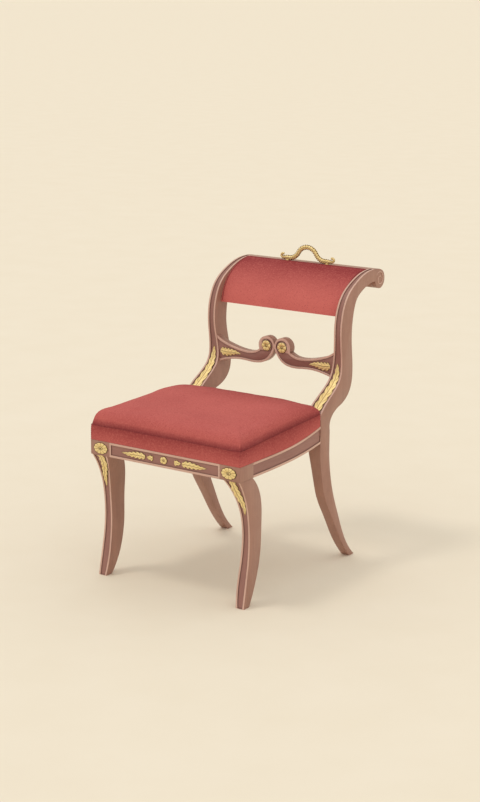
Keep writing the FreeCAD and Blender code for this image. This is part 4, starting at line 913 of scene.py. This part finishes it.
def casting(name, replaced, face, sink):
    """A relief from rows of (x, z, height, tone, base), closed a little behind the wood's face."""
    spots = [spot for row in face for spot in row]
    corners = [(x, base - height, z) for x, z, height, _, base in spots]
    corners += [(x, base + sink, z) for x, z, _, _, base in spots]
    painted_shades = [painted_shade for _, _, _, painted_shade, _ in spots] + [1.0] * len(spots)
    front = np.arange(len(spots)).reshape(len(face), -1)
    back = front + len(spots)
    faces = []
    for i in range(len(face) - 1):
        for j in range(front.shape[1] - 1):
            faces.append((front[i, j], front[i, j + 1], front[i + 1, j + 1], front[i + 1, j]))
            faces.append((back[i, j], back[i + 1, j], back[i + 1, j + 1], back[i, j + 1]))
    rims = [(*side[:, 0], *side[-1, 1:], *side[-2::-1, -1], *side[0, -2:0:-1]) for side in (front, back)]
    faces += zip(rims[0], np.roll(rims[0], -1), np.roll(rims[1], -1), rims[1])
    mesh = bpy.data.meshes.new(name)
    mesh.from_pydata(corners, [], faces)
    marked(mesh, "painted_shade", painted_shades)
    shell = shell_of(mesh)
    closed_up(shell, RELIEF_MERGE)
    into_mesh(shell, mesh)
    mesh.materials.append(GILT)
    piece = smoothed(add_piece(name, mesh), 60)
    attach(piece, "frame")
    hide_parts(replaced)


def leaf(name, replaced, hand, path, width, lobes, height, cut, sink):
    """An acanthus leaf on both sides of a midrib that follows path(s); width(s) is its half width.
    Its lobes are swept towards the tip, cut in by a share of the width and parted by furrows."""
    shares = np.linspace(0, 1, lobes * LOBE_ROWS + 1)
    spine = np.array([path(s) for s in shares])
    way = headings(spine)
    bases = []
    for (x, z), (wx, wz), s in zip(spine, way, shares):
        across = [wood_front(x + wz * t * width(s), z - wx * t * width(s)) for t in (-0.8, -0.4, 0, 0.4, 0.8)]
        bases.append(min(y for y in across if y is not None))
    bases = np.polyval(np.polyfit(shares, bases, 4), shares)
    face = []
    for s, (x, z), (wx, wz), base in zip(shares, spine, way, bases):
        tall = height * (0.35 + 0.65 * math.sin(math.pi * min(1, 0.12 + s) ** 0.8) ** 0.5)
        row = []
        for t in np.linspace(-1, 1, LEAF_COLUMNS):
            side = abs(t)
            offset = 0.5 if t * hand < 0 else 0.0
            swollen = math.sin(math.pi * ((lobes * s - LOBE_SKEW * side + offset) % 1) ** 1.5)
            scallop = math.sin(math.pi * ((lobes * s - LOBE_SKEW + offset) % 1) ** 1.5)
            reach = width(s) * t * (1 - cut + cut * scallop ** 0.6)
            outward = bumped((side - 0.10) / 0.3)
            body = (1 - side ** 2.6) ** 0.5
            rise = body * (1 - 0.36 * outward * (1 - swollen ** 0.6))
            rib = math.exp(-((side - 0.20) / 0.08) ** 2) * 0.12 - math.exp(-(side / 0.08) ** 2) * 0.30
            # Painted shade: dark between the lobes, at the rim and along the midrib.
            dark = 0.5 * outward * (1 - swollen) ** 5
            dark = max(dark, bumped((side - 0.78) / 0.2), 0.85 * math.exp(-(side / 0.07) ** 2))
            row.append((x + wz * reach, z - wx * reach, tall * (rise + rib * body) + 0.0004, dark, base))
        face.append(row)
    casting(name, replaced, face, sink)


def rosette(name, replaced, x, z, reach_x, reach_z, petals, height):
    """A flower seen from above: a ring of petals round a beaded eye, with painted shade in the eye's dimple,
    round the eye, between the petals and at the rim.
    """
    spots = [(x + 0.7 * reach_x * math.cos(a), z + 0.7 * reach_z * math.sin(a)) for a in (0.4, 1.9, 3.5, 5.0)]
    base = min(wood_front(*spot) for spot in spots)
    around = petals * PETAL_COLUMNS
    face = []
    for ring in np.linspace(0, 1, FLOWER_ROWS):
        row = []
        for i in range(around + 1):
            angle = math.tau * i / around
            petal = abs(math.cos(angle * petals / 2))
            out = ring * (0.92 + 0.08 * petal ** 0.6) if ring > 0.3 else ring
            if ring < EYE_SHARE:
                rise = 0.55 + 0.45 * math.sqrt(1 - (ring / EYE_SHARE) ** 2)
                dark = 0.85 * (ring < DIMPLE_SHARE)
            elif ring < RING_SHARE:
                rise, dark = 0.36, 0.6
            elif ring > RIM_SHARE:
                rise, dark = 0.12, 0.95
            else:
                outwards = (ring - RING_SHARE) / (1 - RING_SHARE)
                rise = 0.35 + 0.65 * math.sin(math.pi * min(1, 0.15 + 0.8 * outwards))
                rise *= 0.6 + 0.4 * petal ** 0.5
                rise *= 1 - 0.5 * bumped((outwards - 0.8) / 0.2)
                dark = max(0.55 * (1 - petal) ** 5, 0.85 * bumped((outwards - 0.86) / 0.14))
                dark = max(dark, 0.4 * math.exp(-((1 - petal) / 0.02) ** 2) * (outwards < 0.6))
            row.append((x + reach_x * out * math.cos(angle), z + reach_z * out * math.sin(angle),
                        height * rise + 0.0003, dark, base))
        face.append(row)
    casting(name, replaced, face, FLAT_SINK)


def bowed(start, end, bow):
    """A path from start to end that swings out to its left by bow, and back past its middle."""
    (x0, z0), (x1, z1) = start, end
    span = math.hypot(x1 - x0, z1 - z0)
    nx, nz = -(z1 - z0) / span, (x1 - x0) / span
    return lambda s: (x0 + (x1 - x0) * s + nx * bow * math.sin(math.tau * s),
                      z0 + (z1 - z0) * s + nz * bow * math.sin(math.tau * s))


def tapering(widest, root, fall, rounded=0.0):
    """Half width along a leaf: root is its share at the root, which is rounded over that share of
    the leaf's length, and it narrows to the tip."""
    def half_width(s):
        broad = widest * (root + (1 - root) * bumped(s / 0.3)) * (1 - s ** 2.2) ** fall
        if s < rounded:
            broad *= math.sqrt(1 - (1 - s / rounded) ** 2)
        return max(0.0004, broad)
    return half_width


RAIL_MIDDLE = 0.3870
FLOWERS = (         # casting, solid, its middle, half its breadth and height, petals, relief
    ("corner_flower_", "corner_rosette_", (0.2240, RAIL_MIDDLE), (0.0264, 0.0172), 10, 0.0036),
    ("volute_flower_", "volute_rosette_", (EYE_X, EYE_Z), (0.0170, 0.0170), 6, 0.0038))
LEAVES = (          # casting, solid, root and tip, bow, half width, lobes, relief, cut, sink
    ("rail_flame_", "rail_spray_", (0.0640, RAIL_MIDDLE - 0.0005), (0.1490, RAIL_MIDDLE + 0.0005), 0.0010,
     tapering(0.0122, 0.75, 1.0, 0.10), 6, 0.0030, 0.42, FLAT_SINK),
    ("rail_sprig_", "rail_bud_", (0.0370, RAIL_MIDDLE), (0.0590, RAIL_MIDDLE), 0.0,
     tapering(0.0094, 0.9, 0.7, 0.18), 2, 0.0026, 0.42, FLAT_SINK),
    ("leg_acanthus_", "leg_leaf_", (0.2310, 0.3648), (0.2438, 0.2618), -0.0032,
     tapering(0.0150, 0.85, 0.8), 6, 0.0034, 0.34, CURVED_SINK),
    ("stile_acanthus_", "stile_leaf_", (0.2206, 0.4745), (0.2215, 0.5930), 0.0012,
     tapering(0.0174, 0.95, 0.7), 7, 0.0034, 0.36, CURVED_SINK),
    ("arm_flame_", "bracket_spray_", (0.1972, 0.5828), (0.1225, 0.5782), 0.0020,
     tapering(0.0154, 0.85, 1.0, 0.12), 6, 0.0028, 0.44, FLAT_SINK))
for hand, side in HANDS:
    for name, solid, (x, z), reaches, petals, relief in FLOWERS:
        rosette(name + side, solid + side, hand * x, z, *reaches, petals, relief)
    for name, solid, (x0, z0), (x1, z1), bow, width, lobes, relief, cut, sink in LEAVES:
        path = bowed((hand * x0, z0), (hand * x1, z1), hand * bow)
        leaf(name + side, solid + side, hand, path, width, lobes, relief, cut, sink)
rosette("rail_flower_centre", "rail_flower", 0.0, RAIL_MIDDLE, 0.0128, 0.0112, 5, 0.0030)


# ---- The handle on the crest: a cast bar wrapped in laurel, with a row of beads along its top and
# bottom, that rises in an arch and ends in curls; two turned feet stand on the crest.  The laurel's
# furrows are painted dark as shade, and the beads are coloured dark brown as painted shade along
# the bar's edges.
HANDLE_Y, HANDLE_Z, HANDLE_RISE, HANDLE_FEET = 0.322, 0.8548, 0.037, 0.071
ARCH_SLOPE, CURL_RADIUS, CURL_TURN, STRAIGHT = math.radians(61), 0.0054, math.radians(190), 0.026
ARCH_RADIUS = HANDLE_RISE / (1 - math.cos(ARCH_SLOPE)) / 2
BAR_RADIUS, CURL_BAR, KNOB_SWELL, KNOB_RUN, TIP_RUN = 0.0062, 0.0036, 0.0012, 0.0040, 0.005
THINNING = 0.024             # run over which the bar thins towards its curls
BAR_STEP, BAR_SIDES, LAUREL_PITCH, LAUREL_LANES = 0.0011, 24, 0.0085, 4
CREST_TOP, FOOT_SIDES = 0.847, 32
FOOT_PROFILE = [(0.0001, -0.0028), (0.0066, -0.0028), (0.0066, 0.0006), (0.0050, 0.0018), (0.0044, 0.0034),
                (0.0052, 0.0048), (0.0052, 0.0062), (0.0036, 0.0076), (0.0001, 0.0080)]
BEADS_END, BEADS_FORWARD, BEADS_OUT = 0.022, 0.0018, 0.98
bends = [(-1 / ARCH_RADIUS, ARCH_RADIUS * ARCH_SLOPE), (1 / ARCH_RADIUS, ARCH_RADIUS * ARCH_SLOPE),
         (0.0, STRAIGHT), (1 / CURL_RADIUS, CURL_RADIUS * CURL_TURN), (0.0, KNOB_RUN)]
x, z, heading = 0.0, HANDLE_Z + HANDLE_RISE, 0.0
half = [(x, z, heading)]            # stations from the top of the arch to the end of the right curl
for curvature, run in bends:
    count = max(2, round(run / BAR_STEP))
    for _ in range(count):
        heading += curvature * run / count / 2
        x += math.cos(heading) * run / count
        z += math.sin(heading) * run / count
        heading += curvature * run / count / 2
        half.append((x, z, heading))
stations = [(-x, z, -heading) for x, z, heading in reversed(half[1:])] + half
runs = run_along(np.array(stations)[:, :2])
middle = runs[-1] / 2
rings, painted_shades, radii = [], [], []
for (x, z, heading), run in zip(stations, runs):
    from_end = min(run, runs[-1] - run)
    thinned = bumped((CURL_RADIUS * CURL_TURN + THINNING - from_end) / THINNING)
    thick = BAR_RADIUS + (CURL_BAR - BAR_RADIUS) * thinned
    thick += KNOB_SWELL * bumped((KNOB_RUN - from_end) / KNOB_RUN * 1.6)
    radii.append(thick)
    thick *= math.sqrt(max(0.02, 1 - max(0.0, 1 - from_end / TIP_RUN) ** 2))
    ring = []
    for i in range(BAR_SIDES):
        angle = math.tau * i / BAR_SIDES
        row, lane = divmod(angle / math.tau * LAUREL_LANES, 1)
        lane = lane * 2 - 1
        phase = (abs(run - middle) / LAUREL_PITCH + 0.5 * (row % 2) - 0.45 * (1 - lane ** 2)) % 1
        scale = (0.55 + 0.45 * phase) * (1 - 0.5 * lane ** 4)
        radius = thick * (0.84 + 0.24 * scale)
        out, over = math.cos(angle) * radius, math.sin(angle) * radius
        ring.append((x - math.sin(heading) * out, HANDLE_Y - over, z + math.cos(heading) * out))
        # Painted shade: the laurel is dark at each leaf's start and along the edges of its lanes.
        painted_shades.append(max(0.8 * (phase < 0.14), 0.7 * bumped((abs(lane) - 0.8) / 0.2)))
    rings.append(ring)
bar = add_piece("laurel_handle", closed_shell("laurel_handle", rings))
marked(bar.data, "painted_shade", painted_shades)
feet = []
for hand in (-1, 1):
    rings = []
    for radius, rise in FOOT_PROFILE:
        turns = [math.tau * i / FOOT_SIDES for i in range(FOOT_SIDES)]
        rings.append([(hand * HANDLE_FEET + radius * math.cos(turn), HANDLE_Y + radius * math.sin(turn),
                       CREST_TOP + rise) for turn in turns])
    feet.append(closed_shell("handle_foot", rings))
into_mesh(shell_of(bar.data, *feet), bar.data)
bar.data.materials.append(GILT)
smoothed(bar, 60)
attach(bar, "frame")
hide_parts("crest_handle")

bead_paths = []
for way in (-1, 1):
    bead_paths.append([(x - math.sin(heading) * way * radius * BEADS_OUT, HANDLE_Y - BEADS_FORWARD,
                        z + math.cos(heading) * way * radius * BEADS_OUT)
                       for (x, z, heading), run, radius in zip(stations, runs, radii)
                       if BEADS_END < run < runs[-1] - BEADS_END])
# The beads are coloured dark brown as painted shade along the bar's top and bottom edges.
painted_shade_brass = Finish("dark_brass_painted_shade", Metallic=0.5, Roughness=0.45)
shade = painted_shade_brass.noise(painted_shade_brass.place(), 500.0)
painted_shade_brass.done(Base_Color=painted_shade_brass.mix(shade, paint(70, 42, 24), paint(128, 86, 44)))
beads = strung("handle_beads", bead_paths, painted_shade_brass.material, spacing=0.0062, length=0.0044, thickness=0.0038)
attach(beads, "frame")
